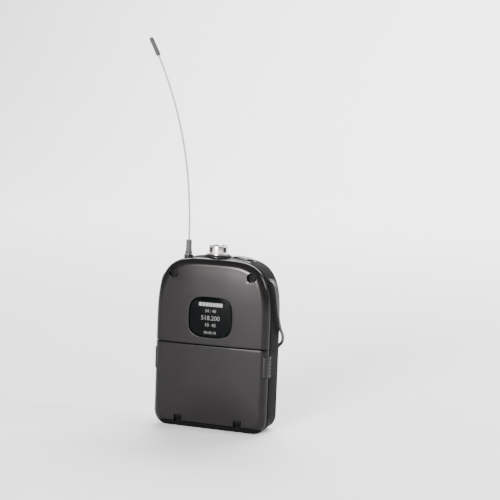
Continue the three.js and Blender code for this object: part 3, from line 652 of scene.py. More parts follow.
def cover_columns(arch_steps=120, side_steps=6):
    """From the right end of the crease, over the arch, to its left end."""
    start = COVER_BOTTOM + EDGE
    rise = (ARCH_CENTRE - start) / side_steps
    right = edge_columns(COVER_BOTTOM, 1) + plain(side_column(start + rise * i) for i in range(side_steps))
    arch = plain(arch_column(pi * arch_spread(i / arch_steps)) for i in range(arch_steps + 1))
    return right + arch + mirror_columns(right)[::-1]


def lower_columns(start, side_steps, corner_steps):
    """Down the right side from the height start, and round the corner."""
    side = [lower_side_column(start, i / side_steps) for i in range(side_steps)]
    return side + [corner_column(pi / 2 * (1 - i / corner_steps)) for i in range(corner_steps)]


def door_columns(base_steps=16):
    """From the left end of the crease, round the bottom, to its right end."""
    right = edge_columns(DOOR_TOP, -1) + plain(lower_columns(DOOR_TOP - EDGE, 22, 10))
    base = plain(base_column(2 * i / base_steps - 1) for i in range(base_steps + 1))
    return mirror_columns(right) + base + right[::-1]


def full_columns(arch_steps=120, side_steps=20, corner_steps=10, base_steps=8):
    """The whole outline from the top of the arch, down the right and up the left."""
    half = [arch_column(pi * arch_spread(0.5 - i / arch_steps)) for i in range(arch_steps // 2)]
    half += lower_columns(ARCH_CENTRE, side_steps, corner_steps)
    half += [base_column(1 - i / base_steps) for i in range(base_steps)]
    other = [mirror_column(column) for column in half[:0:-1]]
    return plain([*half, base_column(0.0), *other])


def full_case(name):
    """The closed outer form of the case."""
    columns = full_columns(60, 10, 8, 4)
    stations = front_stations(pi / 2, 10, 6) + rear_stations(4, 2)[::-1]
    rings = []
    for station in stations:
        inset, y = station(0.0)
        rings.append([(x, y, z) for x, z in (column(inset) for column, _ in columns)])
    count = len(columns)
    points, faces = skin_rings(rings, caps=False)
    faces += zip_faces(0, count, True) + zip_faces((len(rings) - 1) * count, count, True)
    return solid(name, points, faces)


# ---- case shells ----


def flared_tool(name, outline, inner_y, edge=EDGE, steps=6):
    """A cutter for the front whose mouth rounds over onto the domed surface."""
    rings = [[(u, inner_y, v) for u, v in outline(0.0)]]
    for grow, depth in quarter_round(edge, steps):
        rings.append([(u, front_height(u, v) + depth, v) for u, v in outline(grow)])
    rings.append([(u, front_height(u, v) - 2.0, v) for u, v in outline(edge)])
    return solid(name, *skin_rings(rings))


def cover_lip(name, low, high, deep):
    """A flat wall that follows the front's section between two heights."""
    path = []
    stations = front_stations()
    for station in stations[::-1]:
        inset, y = station(EDGE + 0.25)
        if y < deep:
            path.append((HALF - inset, y))
    section = [(path[0][0], deep), *path]
    section += [(-x, y) for x, y in section[::-1]]
    rings = [[(x, y, z) for x, y in section] for z in (low, high)]
    return solid(name, *skin_rings(rings))


def make_front_cover():
    cover = cup("cover_shell", cover_columns(), False, front_stations(), rim_stations(SEAM_FRONT, 1))
    lip = cover_lip("cover_lip", COVER_BOTTOM + 0.05, COVER_BOTTOM + 1.2, SEAM_FRONT - 0.1)
    bosses = [turned("boss", "Y", [(0, SEAM_FRONT, 0), (SCREW["bore"] + 1.2, SEAM_FRONT, 0.2),
                                (SCREW["bore"] + 1.2, FRONT + 3.0, 0), (0, FRONT + 3.0, 0)],
                       side * SCREW["x"], SCREW["z"]) for side in (-1, 1)]
    for part in (lip, *bosses):
        carve(cover, part, "UNION")
    opening = squircle(WINDOW["width"], WINDOW["height"], WINDOW["power"], 0, WINDOW["z"])
    tools = [flared_tool("window_tool", opening, SEAM_FRONT + 1, 0.35)]
    for side in (-1, 1):
        hole = squircle(2 * SCREW["bore"], 2 * SCREW["bore"], 2, side * SCREW["x"], SCREW["z"], 48)
        tools.append(flared_tool("screw_tool", hole, SCREW["seat"], 0.2))
        tools.append(rod("shank_tool", "Y", 1.2, FRONT, BACK, side * SCREW["x"], SCREW["z"], 24))
    piece = cut(cover, *tools)
    piece.name = "front_cover"
    return piece


def make_rear_case():
    shell = cup("rear_case", full_columns(), True, rear_stations(), rim_stations(SEAM_REAR, -1))
    chin = full_case("chin")
    bar = block("bar", (-OUTSIDE, FRONT - 1, -1), (OUTSIDE, SEAM_REAR + 1, CHIN_TOP))
    carve(chin, bar, "INTERSECT")
    carve(shell, chin, "UNION")
    carve(shell, rod("scoop", "X", SWEEP_RADIUS, -OUTSIDE, OUTSIDE, PIN_Y, PIN_Z, 64))
    for side in (-1, 1):
        x = side * KNUCKLE["x"]
        half = KNUCKLE["width"] / 2
        barrel = [(0, x - half, 0), (KNUCKLE["radius"], x - half, 0.25), (KNUCKLE["radius"], x + half, 0.25),
                  (0, x + half, 0)]
        knuckle = turned("knuckle", "X", barrel, PIN_Y, PIN_Z)
        carve(shell, knuckle, "UNION")
        web = block("web", (x - half + 0.05, PIN_Y - 0.6, 1), (x + half - 0.05, PIN_Y + 1.4, PIN_Z - 0.5))
        carve(shell, web, "UNION")
    tools = []
    for side in (-1, 1):
        x0, x1 = sorted((side * (TAB["inner"] - 1.7), side * OUTSIDE))
        tools.append(block("notch", (x0, -8, TAB["low"] - GAP), (x1, TAB["rear"] + GAP, TAB["high"] + GAP)))
        x0, x1 = sorted((side * CLIP["end"], side * OUTSIDE))
        tools.append(rod("clip_hole", "X", CLIP["bore"], x0, x1, CLIP["y"], CLIP["z"], 32))
        slot = stadium(side * CHARGE_SLOT["x"], CHARGE_SLOT["y"], CHARGE_SLOT["length"], CHARGE_SLOT["width"])
        tools.append(slab("charge_slot", slot, [(0.3, -1), (0.3, 0), (0, 0.3), (0, 2)], facing_up))
    label = squircle(REAR_LABEL["width"], REAR_LABEL["height"], 6, 0, REAR_LABEL["z"])
    levels = [(0, BACK - 0.5), (0, BACK - 0.25), (0.25, BACK), (0.25, BACK + 1)]
    tools.append(slab("label_recess", label, levels, facing_back))
    tools.append(rod("socket_hole", "Z", SOCKET["outer"] + GAP, 90, 100, SOCKET["x"], TOP_Y))
    tools.append(rod("antenna_hole", "Z", ANTENNA["jack"] + GAP, 90, 100, ANTENNA["x"], TOP_Y))
    button = stadium(POWER["x"], POWER["y"], POWER["length"] + 3, POWER["width"] + 3)
    tools.append(slab("button_hole", button, [(0, -9), (0, 2)], on_top))
    light = stadium(LIGHT["x"], LIGHT["y"], LIGHT["length"] + 0.5, LIGHT["width"] + 0.5)
    tools.append(slab("light_hole", light, [(0, -4), (0, -0.2), (0.2, 0), (0.2, 1)], on_top))
    tools.append(rod("pin_hole", "X", PIN_BORE, -30, 30, PIN_Y, PIN_Z, 24))
    return cut(shell, *tools)


def make_door():
    door = cup("door_panel", door_columns(), False, front_stations(), rim_stations(SEAM_FRONT, 1))
    outside = block("outside", (-OUTSIDE, FRONT - 1, -1), (OUTSIDE, SEAM_FRONT + 3, PIN_Z))
    carve(outside, rod("bead_room", "X", BEAD_RADIUS, -OUTSIDE - 1, OUTSIDE + 1, PIN_Y, PIN_Z, 64))
    bead = full_case("bead")
    bead_form = rod("bead_form", "X", BEAD_RADIUS - 0.02, -31, 31, PIN_Y, PIN_Z, 64)
    carve(bead, bead_form, "INTERSECT")
    carve(door, outside)
    carve(door, bead, "UNION")
    carve(door, cover_lip("door_lip", DOOR_TOP - 1.4, DOOR_TOP - 0.05, SEAM_FRONT - 1.2), "UNION")
    tools = [rod("pin_bore", "X", PIN_BORE, -26, 26, PIN_Y, PIN_Z, 24)]
    for side in (-1, 1):
        x = side * KNUCKLE["x"]
        reach = KNUCKLE["width"] / 2 + GAP
        room = KNUCKLE["radius"] + 0.6
        tools.append(rod("knuckle_room", "X", room, x - reach, x + reach, PIN_Y, PIN_Z, 40))
        tools.append(block("knuckle_slot", (x - reach, FRONT - 1, -1), (x + reach, SEAM_FRONT + 3, PIN_Z)))
        x0, x1 = sorted((side * (TAB["inner"] - 1.7), side * OUTSIDE))
        low = (x0, TAB["front"] - GAP, TAB["low"] - GAP)
        tools.append(block("tab_window", low, (x1, 0, TAB["high"] + GAP)))
        x0, x1 = sorted((side * 26, side * 27.1))
        post = block("post", (x0, FRONT + 1.3, SPRING["z"] - 2), (x1, -6.4, SPRING["z"] + 2))
        carve(door, post, "UNION")
    return cut(door, *tools)


def make_seal():
    """The dark strip that fills the seam round the upper case."""
    y0, y1 = SEAM_FRONT + GAP, SEAM_REAR - GAP
    end = side_column(COVER_BOTTOM + 0.7)
    steps = 96
    arch = [arch_column(pi * arch_spread(i / steps)) for i in range(steps + 1)]
    outside, inside, chamfer = 0.6, 1.5, 0.1
    section = [(outside + chamfer, y0), (outside, y0 + 0.15), (outside, y1 - 0.15), (outside + chamfer, y1),
               (inside, y1), (inside, y0)]
    rows = []
    for column in [end, *arch, mirror_column(end)]:
        rows.append([(column(inset)[0], y, column(inset)[1]) for inset, y in section])
    return solid("seam_seal", *skin_rings(rows))


# ---- display ----


def make_window():
    face = -(FRONT + WINDOW["recess"])
    outline = squircle(WINDOW["width"] - 0.5, WINDOW["height"] - 0.5, WINDOW["power"], 0, WINDOW["z"])
    return slab("window_glass", outline, rounded_levels(face - 2.6, face, 0.4), facing_front)


SIZE_PER_DIGIT_HEIGHT = 1.42


def make_digits(name, text, height, z, bold):
    """Digits as thin solid segments just above the glass."""
    curve = bpy.data.curves.new(name, "FONT")
    curve.body = text
    curve.size = height * MM * SIZE_PER_DIGIT_HEIGHT
    curve.align_x = "CENTER"
    curve.offset = bold * MM
    curve.extrude = 0.02 * MM
    holder = new_object(name, curve)
    graph = bpy.context.evaluated_depsgraph_get()
    mesh = bpy.data.meshes.new_from_object(holder.evaluated_get(graph))
    bpy.data.objects.remove(holder)
    obj = new_object(name, mesh)
    face = FRONT + WINDOW["recess"] - 0.025
    mesh.transform(Matrix.Rotation(pi / 2, 4, "X"))
    mesh.transform(Matrix.Translation(Vector((0, face, z - height / 2)) * MM))
    return shade(obj, weld=1e-7)


def make_meter():
    """A row of bright level blocks along the top of the display."""
    widths = [2.0, 1.6, 1.8, 1.6, 2.0, 1.7, 1.9]
    gap = 0.25
    left = -(sum(widths) + gap * (len(widths) - 1)) / 2
    face = -(FRONT + WINDOW["recess"])
    blocks = []
    for width in widths:
        outline = rounded_box(left + width / 2, WINDOW["z"] + 7.3, width, 2.1, 0.25)
        blocks.append(slab("level_block", outline, [(0, face - 0.01), (0, face + 0.05)], facing_front))
        left += width + gap
    return merged("level_meter", *blocks)


# ---- top fittings ----


def make_socket_base():
    seat = HEIGHT + GAP
    base = SOCKET["base"]
    inner = SOCKET["outer"] + GAP
    corners = [(inner, seat, 0.1), (base, seat, 0.1), (base, seat + 0.45, 0.15),
               (base - 0.5, seat + 1.2, 0.3), (inner + 0.3, seat + 1.2, 0.2), (inner, seat + 0.9, 0.1)]
    return turned_ring("socket_base", corners, SOCKET["x"], TOP_Y)


def socket_bar(name, start, end, width, low, high, angle):
    """A bar that reaches out from the socket's axis, turned about that axis."""
    bar = block(name, (start, -width / 2, low), (end, width / 2, high))
    bar.data.transform(Matrix.Rotation(radians(angle), 4, "Z"))
    bar.data.transform(Matrix.Translation((SOCKET["x"] * MM, TOP_Y * MM, 0)))
    return bar


def window_bars():
    reach = SOCKET["outer"] + 1.5
    width, low, high = (SOCKET_WINDOW[key] for key in ("width", "low", "high"))
    bars = [socket_bar("latch_window", -reach, reach, width, low, high, angle)
            for angle in SOCKET_WINDOW["angles"]]
    width, low, angle = (SOCKET_KEY[key] for key in ("width", "low", "angle"))
    return [*bars, socket_bar("keyway", 0, reach, width, low, BARREL_HIGH.z + 1, angle)]


def make_socket_barrel():
    low, top = BARREL_LOW.z, BARREL_HIGH.z
    step = SOCKET["floor"] - 0.5
    groove = HEIGHT + GAP + 2.0
    outer, foot, bore = SOCKET["outer"], SOCKET["foot"], SOCKET["bore"]
    cut_back = outer - 0.12
    corners = [(foot, low, 0.2), (foot, step, 0), (outer, step + 0.1, 0), (outer, groove - 0.2, 0.1),
               (cut_back, groove - 0.1, 0.05), (cut_back, groove + 0.1, 0.05), (outer, groove + 0.2, 0.1),
               (outer, top, 0.3), (bore, top, 0.2), (bore, low, 0.1)]
    barrel = turned_ring("socket_ring", corners, SOCKET["x"], TOP_Y, 96)
    return cut(barrel, *window_bars())


def make_socket_shade_liner():
    """The dark lining of the barrel, seen through its windows: painted shade standing in for the barrel's
    shaded inside.
    """
    outer, low, top = SOCKET["bore"] - 0.05, SOCKET["floor"] + 0.1, BARREL_HIGH.z - 0.4
    corners = [(outer, low, 0), (outer, top, 0.05), (outer - 0.2, top, 0.05), (outer - 0.2, low, 0)]
    return turned_ring("socket_shade_liner", corners, SOCKET["x"], TOP_Y)


def make_socket_insert():
    edge, floor = SOCKET["bore"] - GAP, SOCKET["floor"]
    low = BARREL_LOW.z + 0.5
    corners = [(0, low, 0), (edge, low, 0.2), (edge, floor, 0.3), (3.6, floor, 0.1), (3.5, floor - 0.3, 0.1),
               (0, floor - 0.3, 0)]
    insert = turned("socket_core", "Z", corners, SOCKET["x"], TOP_Y, 48)
    rooms = [rod("pin_room", "Z", 0.85, low - 1, floor + 1, x, y, 20) for x, y in pin_places()]
    return cut(insert, *rooms)


def pin_places():
    reach = SOCKET["pin_circle"]
    angles = [radians(45 + 90 * i) for i in range(4)]
    return [(SOCKET["x"] + reach * cos(a), TOP_Y + reach * sin(a)) for a in angles]


def make_antenna_jack():
    seat = ANTENNA["seat"]
    low, high = seat + GAP, seat + GAP + 0.6
    flange, radius = ANTENNA["flange"], ANTENNA["jack"]
    corners = [(0, low, 0), (flange, low, 0.1), (flange, high - 0.15, 0), (flange - 0.3, high, 0),
               (0, high, 0)]
    hexagon = turned("hex_form", "Z", corners, ANTENNA["x"], TOP_Y, 6)
    corners = [(0, 90, 0), (radius, 90, 0.2), (radius, seat + 0.5, 0), (0, seat + 0.5, 0)]
    body = turned("jack_body", "Z", corners, ANTENNA["x"], TOP_Y, 48)
    carve(body, hexagon, "UNION")
    return cut(body, rod("jack_bore", "Z", ANTENNA["bore"], 91.5, 100, ANTENNA["x"], TOP_Y, 24))


def make_boot():
    """The rubber boot: a short ringed skirt, a nearly straight neck and a hollow foot."""
    low, top = BOOT_LOW.z, BOOT_HIGH.z
    skirt, groove, neck, hollow, bore = 2.1, 1.95, 1.65, 1.7, 0.8
    corners = [(hollow, low, 0.1), (skirt, low, 0.15), (skirt, low + 0.55, 0.1), (groove, low + 0.65, 0.05),
               (groove, low + 0.8, 0.05), (skirt, low + 0.9, 0.1), (skirt, low + 1.2, 0.3),
               (neck + 0.1, low + 1.8, 0.5), (neck, low + 3.2, 0.6), (neck, top, 0.4), (bore, top, 0.1),
               (bore, low + 2.6, 0), (hollow, low + 1.9, 0.2)]
    return turned_ring("whip_boot", corners, ANTENNA["x"], TOP_Y, 40)


def whip_point(z):
    bend = max(0.0, (z - BOOT_HIGH.z) / (WHIP["tip"] - BOOT_HIGH.z))
    return (ANTENNA["x"] - WHIP["lean"] * bend ** WHIP["bend"], TOP_Y, z)


def whip_path(low, high, steps):
    return [whip_point(low + (high - low) * i / steps) for i in range(steps + 1)]


def make_whip():
    end = WHIP_FOOT + (WHIP["tip"] - WHIP_FOOT) * 0.98
    return tube("whip_wire", whip_path(WHIP_FOOT, end, 120), lambda share: WHIP["radius"])


def make_cap():
    path = whip_path(WHIP["tip"] - WHIP["cap_length"], WHIP["tip"], 40)

    def radius(share):
        """A straight sleeve, slightly waisted near its mouth, with a round tip."""
        mouth = min(1.0, 0.82 + share * 3)
        tip = sqrt(max(0.0, 1 - max(0.0, (share - 0.88) / 0.12) ** 2))
        return max(0.02, WHIP["cap_radius"] * mouth * max(tip, 0.02))
    return tube("whip_cap", path, radius, 24)


def make_power_rim():
    ring = 2 * POWER["rim"]
    outer = stadium(POWER["x"], POWER["y"], POWER["length"] + ring, POWER["width"] + ring)
    hole = stadium(POWER["x"], POWER["y"], POWER["length"] + 0.5, POWER["width"] + 0.5)
    rim = slab("power_surround", outer, rounded_levels(-3.2, 0.5, 0.3), on_top)
    tool = slab("rim_hole", hole, [(0, -9), (0, 0.3), (0.2, 0.5), (0.2, 3)], on_top)
    return cut(rim, tool)


def button_height(distance):
    """Height of the dished button top at a distance from the stadium's middle line."""
    share = min(1.0, distance / (POWER["width"] / 2 - 0.35))
    return POWER["proud"] - POWER["dish"] * (1 - share ** 2) ** 1.5


def make_power_button():
    outline = stadium(POWER["x"], POWER["y"], POWER["length"], POWER["width"])
    edge = 0.35
    levels = [(0, -4.0)] + rounded_levels(-3.0, POWER["proud"], edge)
    radius = POWER["width"] / 2
    for i in range(1, 13):
        inward = edge + (radius - edge) * i / 12 * 0.995
        levels.append((-inward, button_height(radius - inward)))
    return slab("power_key", outline, levels, on_top)


def make_power_icon():
    """A ring with a gap at the top and a short bar in the gap."""
    def on_button(u, v, height):
        across = abs(v - POWER["y"])
        along = max(0.0, abs(u - POWER["x"]) - (POWER["length"] - POWER["width"]) / 2)
        return on_top(u, v, button_height(hypot(across, along)) + height)

    def ribbon(name, path, width=0.45, thick=0.1):
        corners = [(width / 2 * s, thick / 2 * h) for s, h in ((1, -1), (-1, -1), (-1, 1), (1, 1))]
        rings = []
        for index, (u, v) in enumerate(path):
            ahead = Vector(path[min(index + 1, len(path) - 1)]) - Vector(path[max(index - 1, 0)])
            side = Vector((-ahead.y, ahead.x)).normalized()
            rings.append([on_button(u + side.x * s, v + side.y * s, h) for s, h in corners])
        return solid(name, *skin_rings(rings))

    radius, gap_degrees, steps = 1.5, 70, 40
    arc = []
    for i in range(steps + 1):
        angle = radians(90 + gap_degrees / 2 + (360 - gap_degrees) * i / steps)
        arc.append((POWER["x"] + radius * cos(angle), POWER["y"] + radius * sin(angle)))
    bar = [(POWER["x"], POWER["y"] + 0.3 * (i + 1)) for i in range(7)]
    return merged("power_icon", ribbon("icon_ring", arc), ribbon("icon_bar", bar))


def make_light_bar():
    outline = stadium(LIGHT["x"], LIGHT["y"], LIGHT["length"], LIGHT["width"])
    return slab("light_bar", outline, rounded_levels(-3.0, LIGHT["proud"], 0.25), on_top)


# ---- screws, tabs, clip ----


def make_screw(name, x, z, seat, tip, head_radius, head_height=1.7):
    """A round-headed socket screw whose head faces the front."""
    under = seat - GAP
    face = under - head_height
    shank, drive_radius = 0.85, head_radius * 0.5
    corners = [(0, tip, 0), (shank - 0.3, tip, 0.1), (shank, tip - 0.5, 0), (shank, under, 0.1),
               (head_radius, under, 0.15), (head_radius, face + 0.35, 0.3), (head_radius - 0.5, face, 0.2),
               (head_radius * 0.55, face, 0.05), (drive_radius, face + 0.12, 0), (0, face + 0.12, 0)]
    screw = turned(name, "Y", corners, x, z)
    drive = rod("drive", "Y", drive_radius, face - 1, face + 1, x, z, 6)
    return cut(screw, drive)


def tab_groove(z):
    """A V-shaped cutter across the tab at height z, shallow at the case's side."""
    corners = [(HALF - 0.05, -0.22), (HALF + 0.9, -0.6), (HALF + 0.9, 0.6), (HALF - 0.05, 0.22)]
    rings = [[(x, y, z + rise) for x, rise in corners] for y in (TAB["front"] - 1, TAB["rear"] + 1)]
    return solid("groove", *skin_rings(rings))


def make_tab():
    """The right-hand squeeze tab: it follows the case's side and stands a little proud of it."""
    outer = HALF + TAB["proud"]
    edge = 0.3
    stations = [station for station in front_stations(pi / 2, 16, 2) if station(0)[1] > TAB["front"]]
    profile = [(HALF - inset, y) for inset, y in (station(-TAB["proud"]) for station in stations)]
    section = [(TAB["inner"], TAB["front"]), (profile[0][0], TAB["front"]), *profile,
               (outer, TAB["rear"] - edge), (outer - edge, TAB["rear"]), (TAB["inner"], TAB["rear"])]
    middle_x, middle_y = (TAB["inner"] + HALF) / 2, (TAB["front"] + TAB["rear"]) / 2
    rings = []
    for grow, z in rounded_levels(TAB["low"], TAB["high"], edge, 4, edge):
        ring = []
        for x, y in section:
            ring.append((x + copysign(min(-grow, abs(x - middle_x)), middle_x - x),
                         y + copysign(min(-grow, abs(y - middle_y)), middle_y - y), z))
        rings.append(ring)
    tab = solid("squeeze_tab_right", *skin_rings(rings))
    tools = [tab_groove(TAB["low"] + 2.2 + 1.9 * i) for i in range(5)]
    start, end = TAB["inner"] - 1, TAB["inner"] + 1.9
    tools.append(rod("spring_room", "X", 1.7, start, end, SPRING["y"], SPRING["z"], 32))
    return cut(tab, *tools)


def make_spring():
    turns, steps = 4, 96
    path = []
    for i in range(steps + 1):
        angle = TAU * turns * i / steps
        y = SPRING["y"] + SPRING["coil"] * cos(angle)
        z = SPRING["z"] + SPRING["coil"] * sin(angle)
        path.append((SPRING["start"] + SPRING["length"] * i / steps, y, z))
    return tube("tab_spring_right", path, lambda share: SPRING["wire"], 8)


def smooth_path(points, steps):
    """A centripetal Catmull-Rom curve through the points."""
    points = [Vector(p) for p in points]
    ends = [2 * points[0] - points[1], *points, 2 * points[-1] - points[-2]]
    path = []
    for index in range(len(ends) - 3):
        near = ends[index:index + 4]
        knots = [0.0]
        for before, after in zip(near, near[1:]):
            knots.append(knots[-1] + sqrt((after - before).length))
        for step in range(steps):
            t = knots[1] + (knots[2] - knots[1]) * step / steps
            blended = near
            for reach, first in ((1, 0), (2, 0), (1, 1)):
                starts, ends_at = knots[first:], knots[first + reach:]
                blended = [a.lerp(b, (t - t0) / (t1 - t0))
                           for a, b, t0, t1 in zip(blended, blended[1:], starts, ends_at)]
            path.append(blended[0])
    path.append(points[-1])
    return path


def make_clip():
    side, y, z = CLIP["side"], CLIP["y"], CLIP["z"]
    half = [(27.7, y, z), (30.6, y, z), (32.5, y, z - 0.7), (33.9, y, z - 3.4), (34.9, -0.1, 78),
            (side, 1.2, 69), (side, 6.6, 60), (side - 0.3, 13.6, 54), (33.6, 17.6, 49.5), (29.6, 18.8, 45),
            (24.8, 18.9, 39), (20.8, 18.6, 31), (18.6, 17, 22), (17.6, 15, 14), (15.6, 14.5, 9.6),
            (11.6, 14.4, 7.4)]
    points = [*half, (0, 14.4, 7), *[(-x, y, z) for x, y, z in half[::-1]]]
    path = smooth_path(points, 8)

    def radius(share):
        end = min(share, 1 - share)
        return CLIP["wire"] * min(1.0, 0.7 + end * 60)
    return tube("clip_wire", path, radius, 16)


# ---- battery bay ----


def battery_outline(grow=0.0, steps=28):
    """Two round cells side by side, joined by a waist."""
    low, high = box_mm("battery_case")
    y, z = (low.y + high.y) / 2, (low.z + high.z) / 2
    radius = (high.y - low.y) / 2 + grow
    pitch = (high.z - low.z) - 2 * (radius - grow)
    waist = radius * 0.74
    open_angle = acos(waist / radius)
    points = []
    for side in (1, -1):
        for i in range(steps + 1):
            angle = (pi / 2 + open_angle) * (2 * i / steps - 1)
            across, up = radius * sin(angle), pitch / 2 + radius * cos(angle)
            points.append((y - side * across, z + side * up))
    return points


def battery_part(name, levels):
    """A length of the pack through (grow, x) levels."""
    return solid(name, *skin_rings([[(x, y, z) for y, z in battery_outline(grow)] for grow, x in levels]))


def make_battery():
    low, high = box_mm("battery_case")
    cap_low, cap_high = box_mm("battery_cap")
    film, joint_edge, end_edge = 0.04, 0.25, 1.0
    body = battery_part("cell_pack", rounded_levels(low.x, high.x, end_edge, 4, joint_edge))
    cap = battery_part("cell_pack_cap", rounded_levels(cap_low.x, cap_high.x, joint_edge, 4, end_edge))
    sleeve = battery_part("cell_pack_band", [(film, low.x + 6), (film, low.x + 22)])
    return body, cap, sleeve


def make_menu_button(index):
    low, high = box_mm(f"menu_button_{index}")
    x, z = (low.x + high.x) / 2, (low.z + high.z) / 2
    outline = rounded_box(x, z, *MENU_KEY.values())
    return slab(f"menu_key_{index}", outline, rounded_levels(-high.y, -low.y, 0.35), facing_front)


def make_menu_icon(index):
    low, high = box_mm(f"menu_button_{index}")
    x, z = (low.x + high.x) / 2, (low.z + high.z) / 2
    shapes = {1: [(-1, -0.6), (1, -0.6), (0, 0.8)], 2: [(-1, 0.6), (0, -0.8), (1, 0.6)],
              3: [(-0.8, -0.7), (0.8, -0.7), (0.8, 0.7), (-0.8, 0.7)]}
    corners = shapes[index]
    rings = [[(x + u, low.y + dy, z + v) for u, v in corners] for dy in (0.03, -0.03)]
    return solid(f"menu_mark_{index}", *skin_rings(rings))


# ---- assembly ----


def put(piece, material, body, slot, *nodes):
    """Gives a piece its finish, the body it moves with and the CAD nodes it stands for."""
    piece.data.materials.clear()
    piece.data.materials.append(material)
    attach(piece, body)
    if nodes:
        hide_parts(*nodes)
    return piece


def dress(node, material, bevel=0.0):
    """Gives a CAD node that stays its finish, with its edges broken."""
    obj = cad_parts[node]
    obj.data.materials.clear()
    obj.data.materials.append(material)
    for face in obj.data.polygons:
        face.use_smooth = False
    if bevel > 0:
        modifier = obj.modifiers.new("edges", "BEVEL")
        modifier.width = bevel * MM
        modifier.segments = 3
        modifier.limit_method = "ANGLE"
        modifier.angle_limit = radians(40)
        modifier.harden_normals = True


put(make_front_cover(), CASE_PAINT, "housing", "case_paint", "front_shell")
# The rear shell wears the darker copy of the case paint, as painted shade.
put(make_rear_case(), SHADED_SHELL_PAINT, "housing", "case_paint", "rear_shell")
put(make_door(), CASE_PAINT, "battery_door", "case_paint", "battery_door")
put(make_seal(), RUBBER, "housing", "rubber", "shell_seal")

put(make_window(), GLOSS, "housing", "gloss_black", "display_window")
put(make_meter(), PRINT_WHITE, "housing", "gloss_black")
DISPLAY_LINES = [("digits_a", "24 : 48", 1.7, 3.7, 0.045, PRINT_DIM),
                 ("digits_b", "518.200", 2.5, -0.3, 0.04, PRINT_MID),
                 ("digits_c", "10  45", 1.9, -4.3, 0.045, PRINT_DIM),
                 ("digits_d", "00:42:18", 1.5, -8.6, 0.045, PRINT_DIM)]
for name, text, size, rise, bold, ink in DISPLAY_LINES:
    put(make_digits(name, text, size, WINDOW["z"] + rise, bold), ink, "housing", "gloss_black")

put(make_socket_base(), PLASTIC, "housing", "black_plastic", "socket_bezel")
put(make_socket_barrel(), NICKEL, "housing", "nickel", "socket_barrel")
# The barrel's dark lining is painted shade.
put(make_socket_shade_liner(), PLASTIC, "housing", "black_plastic")
put(make_socket_insert(), PLASTIC, "housing", "black_plastic", "socket_insert")
for number, (pin_x, pin_y) in enumerate(pin_places(), 1):
    pin_corners = [(0, 89.5, 0), (0.5, 89.5, 0.1), (0.5, 100, 0.35), (0, 100, 0)]
    pin = turned(f"contact_pin_{number}", "Z", pin_corners, pin_x, pin_y, 24)
    put(pin, GOLD, "housing", "gold", f"socket_pin_{number}")

put(make_antenna_jack(), DARK_STEEL, "housing", "dark_steel", "antenna_jack")
put(make_boot(), BOOT_RUBBER, "antenna", "rubber", "antenna_boot")
put(make_whip(), WHIP_COAT, "antenna", "whip_wire", "antenna_whip")
put(make_cap(), RUBBER, "antenna", "rubber", "antenna_cap")

put(make_power_rim(), PLASTIC, "housing", "black_plastic", "power_rim")
put(make_power_button(), KEY_GLOSS, "power_button", "gloss_black", "power_button")
put(make_power_icon(), PRINT_GREY, "power_button", "gloss_black")
put(make_light_bar(), LED_GREEN, "housing", "light_guide", "power_light")

for side, word in ((-1, "left"), (1, "right")):
    case_screw = make_screw(f"cover_screw_{word}", side * SCREW["x"], SCREW["z"], SCREW["seat"], 1.0, 2.3)
    put(case_screw, SCREW_BLACK, "housing", "dark_steel", f"case_screw_{word}")
    x, z, seat, tip, head = TRAY_SCREW.values()
    tray_screw = make_screw(f"bay_screw_{word}", side * x, z, seat, tip, head)
    put(tray_screw, SCREW_BLACK, "housing", "dark_steel", f"tray_screw_{word}")

right_tab = make_tab()
left_tab = mirrored(right_tab, "squeeze_tab_left")
put(right_tab, PLASTIC, "latch_right", "black_plastic", "latch_tab_right")
put(left_tab, PLASTIC, "latch_left", "black_plastic", "latch_tab_left")
right_spring = make_spring()
left_spring = mirrored(right_spring, "tab_spring_left")
put(right_spring, STEEL, "battery_door", "steel", "latch_spring_right")
put(left_spring, STEEL, "battery_door", "steel", "latch_spring_left")
put(make_clip(), CLIP_METAL, "belt_clip", "dark_steel", "belt_clip")

cells, cell_cap, cell_band = make_battery()
put(cells, CELL_WRAP, "housing", "cell_wrap", "battery_case")
put(cell_cap, PLASTIC, "housing", "black_plastic", "battery_cap")
put(cell_band, LABEL, "housing", "cell_wrap")
for number in (1, 2, 3):
    put(make_menu_button(number), RUBBER, f"menu_button_{number}", "rubber", f"menu_button_{number}")
    put(make_menu_icon(number), PRINT_GREY, f"menu_button_{number}", "rubber")

dress("back_label", LABEL, 0.05)
dress("battery_tray", PLASTIC, 0.2)
dress("display_module", PLASTIC, 0.2)
dress("main_board", BOARD_MASK, 0.1)
dress("rf_shield", NICKEL, 0.2)
dress("audio_chip", PLASTIC, 0.15)
dress("contact_block", PLASTIC, 0.2)
dress("battery_contact", GOLD, 0.15)
dress("infrared_window", GLOSS, 0.15)
dress("power_switch", PLASTIC, 0.1)
dress("antenna_ferrule", NICKEL, 0.1)
dress("door_hinge_pin", STEEL, 0.1)
for node in ("battery_spring_1", "battery_spring_2", "battery_spring_3"):
    dress(node, GOLD, 0.05)
for word in ("left", "right"):
    dress(f"board_screw_{word}", STEEL, 0.1)
    dress(f"charge_contact_{word}", GOLD, 0.12)


# ---- studio ----

# Places in the studio are in metres and angles in degrees.
CAMERA = {"azimuth": 18.4, "elevation": 5.96, "roll": 2.2, "lens": 90.5,
          "distance": 0.709, "target": (0.01793, 0.0, 0.10344)}


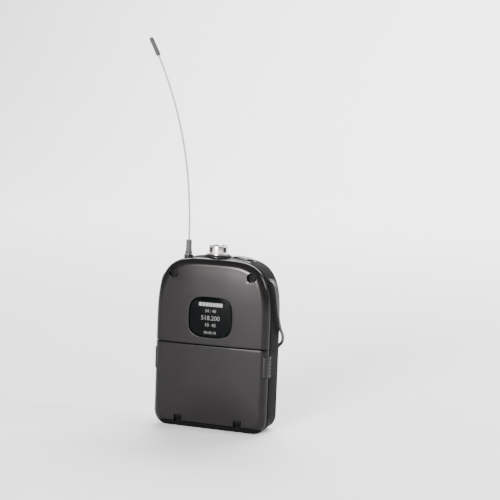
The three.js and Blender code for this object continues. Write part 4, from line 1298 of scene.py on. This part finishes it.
def make_camera():
    data = bpy.data.cameras.new("camera")
    data.sensor_width = 36.0
    data.lens = CAMERA["lens"]
    camera = new_object("camera", data)
    azimuth, elevation = radians(CAMERA["azimuth"]), radians(CAMERA["elevation"])
    level = cos(elevation)
    back = Vector((sin(azimuth) * level, -cos(azimuth) * level, sin(elevation)))
    camera.location = Vector(CAMERA["target"]) + back * CAMERA["distance"]
    camera.rotation_mode = "QUATERNION"
    aim = (-back).to_track_quat("-Z", "Y")
    camera.rotation_quaternion = aim @ Matrix.Rotation(radians(CAMERA["roll"]), 3, "Z").to_quaternion()
    bpy.context.scene.camera = camera


def make_light(name, place, target, size, watts, color=(1, 1, 1)):
    data = bpy.data.lights.new(name, "AREA")
    data.shape = "RECTANGLE"
    data.size, data.size_y = size
    data.energy = watts
    data.color = color
    light = new_object(name, data)
    light.location = place
    light.rotation_mode = "QUATERNION"
    light.rotation_quaternion = (Vector(target) - Vector(place)).to_track_quat("-Z", "Y")


def make_floor():
    """Paper that lies flat and then curves up behind the object."""
    near, bend_start, bend_radius, top, half_width, steps = -9000, 1500, 900, 3500, 8000, 12
    profile = [(near, 0)]
    for i in range(steps + 1):
        angle = pi / 2 * i / steps
        profile.append((bend_start + bend_radius * sin(angle), bend_radius * (1 - cos(angle))))
    profile.append((bend_start + bend_radius, top))
    points = [(x, y, z) for x in (-half_width, half_width) for y, z in profile]
    faces = []
    count = len(profile)
    for i in range(count - 1):
        faces.append((i, i + 1, count + i + 1, count + i))
    floor = raw_object("studio_floor", points, faces)
    for face in floor.data.polygons:
        face.use_smooth = True
    material, nodes, links, shader = new_material("floor_paper")
    paper = add_mix(nodes, links, add_noise(nodes, links, 4.0), (0.88, 0.88, 0.88), (0.91, 0.91, 0.91))
    links.new(paper, shader.inputs["Base Color"])
    shader.inputs["Roughness"].default_value = 0.7
    floor.data.materials.append(material)


def make_world():
    world = bpy.data.worlds.new("studio")
    world.use_nodes = True
    background = world.node_tree.nodes["Background"]
    background.inputs["Color"].default_value = (1, 1, 1, 1)
    background.inputs["Strength"].default_value = 0.25
    bpy.context.scene.world = world


make_camera()
make_floor()
make_world()
MIDDLE = (0, 0, 0.06)
make_light("key", (-0.23, -1.93, 0.45), MIDDLE, (0.66, 0.46), 135.0, (1.0, 0.975, 0.96))
make_light("stripe", (0.86, 0.1, 0.50), MIDDLE, (0.22, 0.42), 7.0)
make_light("floor_wash", (0.0, 1.5, 1.5), (0.0, 1.3, 0.0), (2.4, 1.2), 120.0)
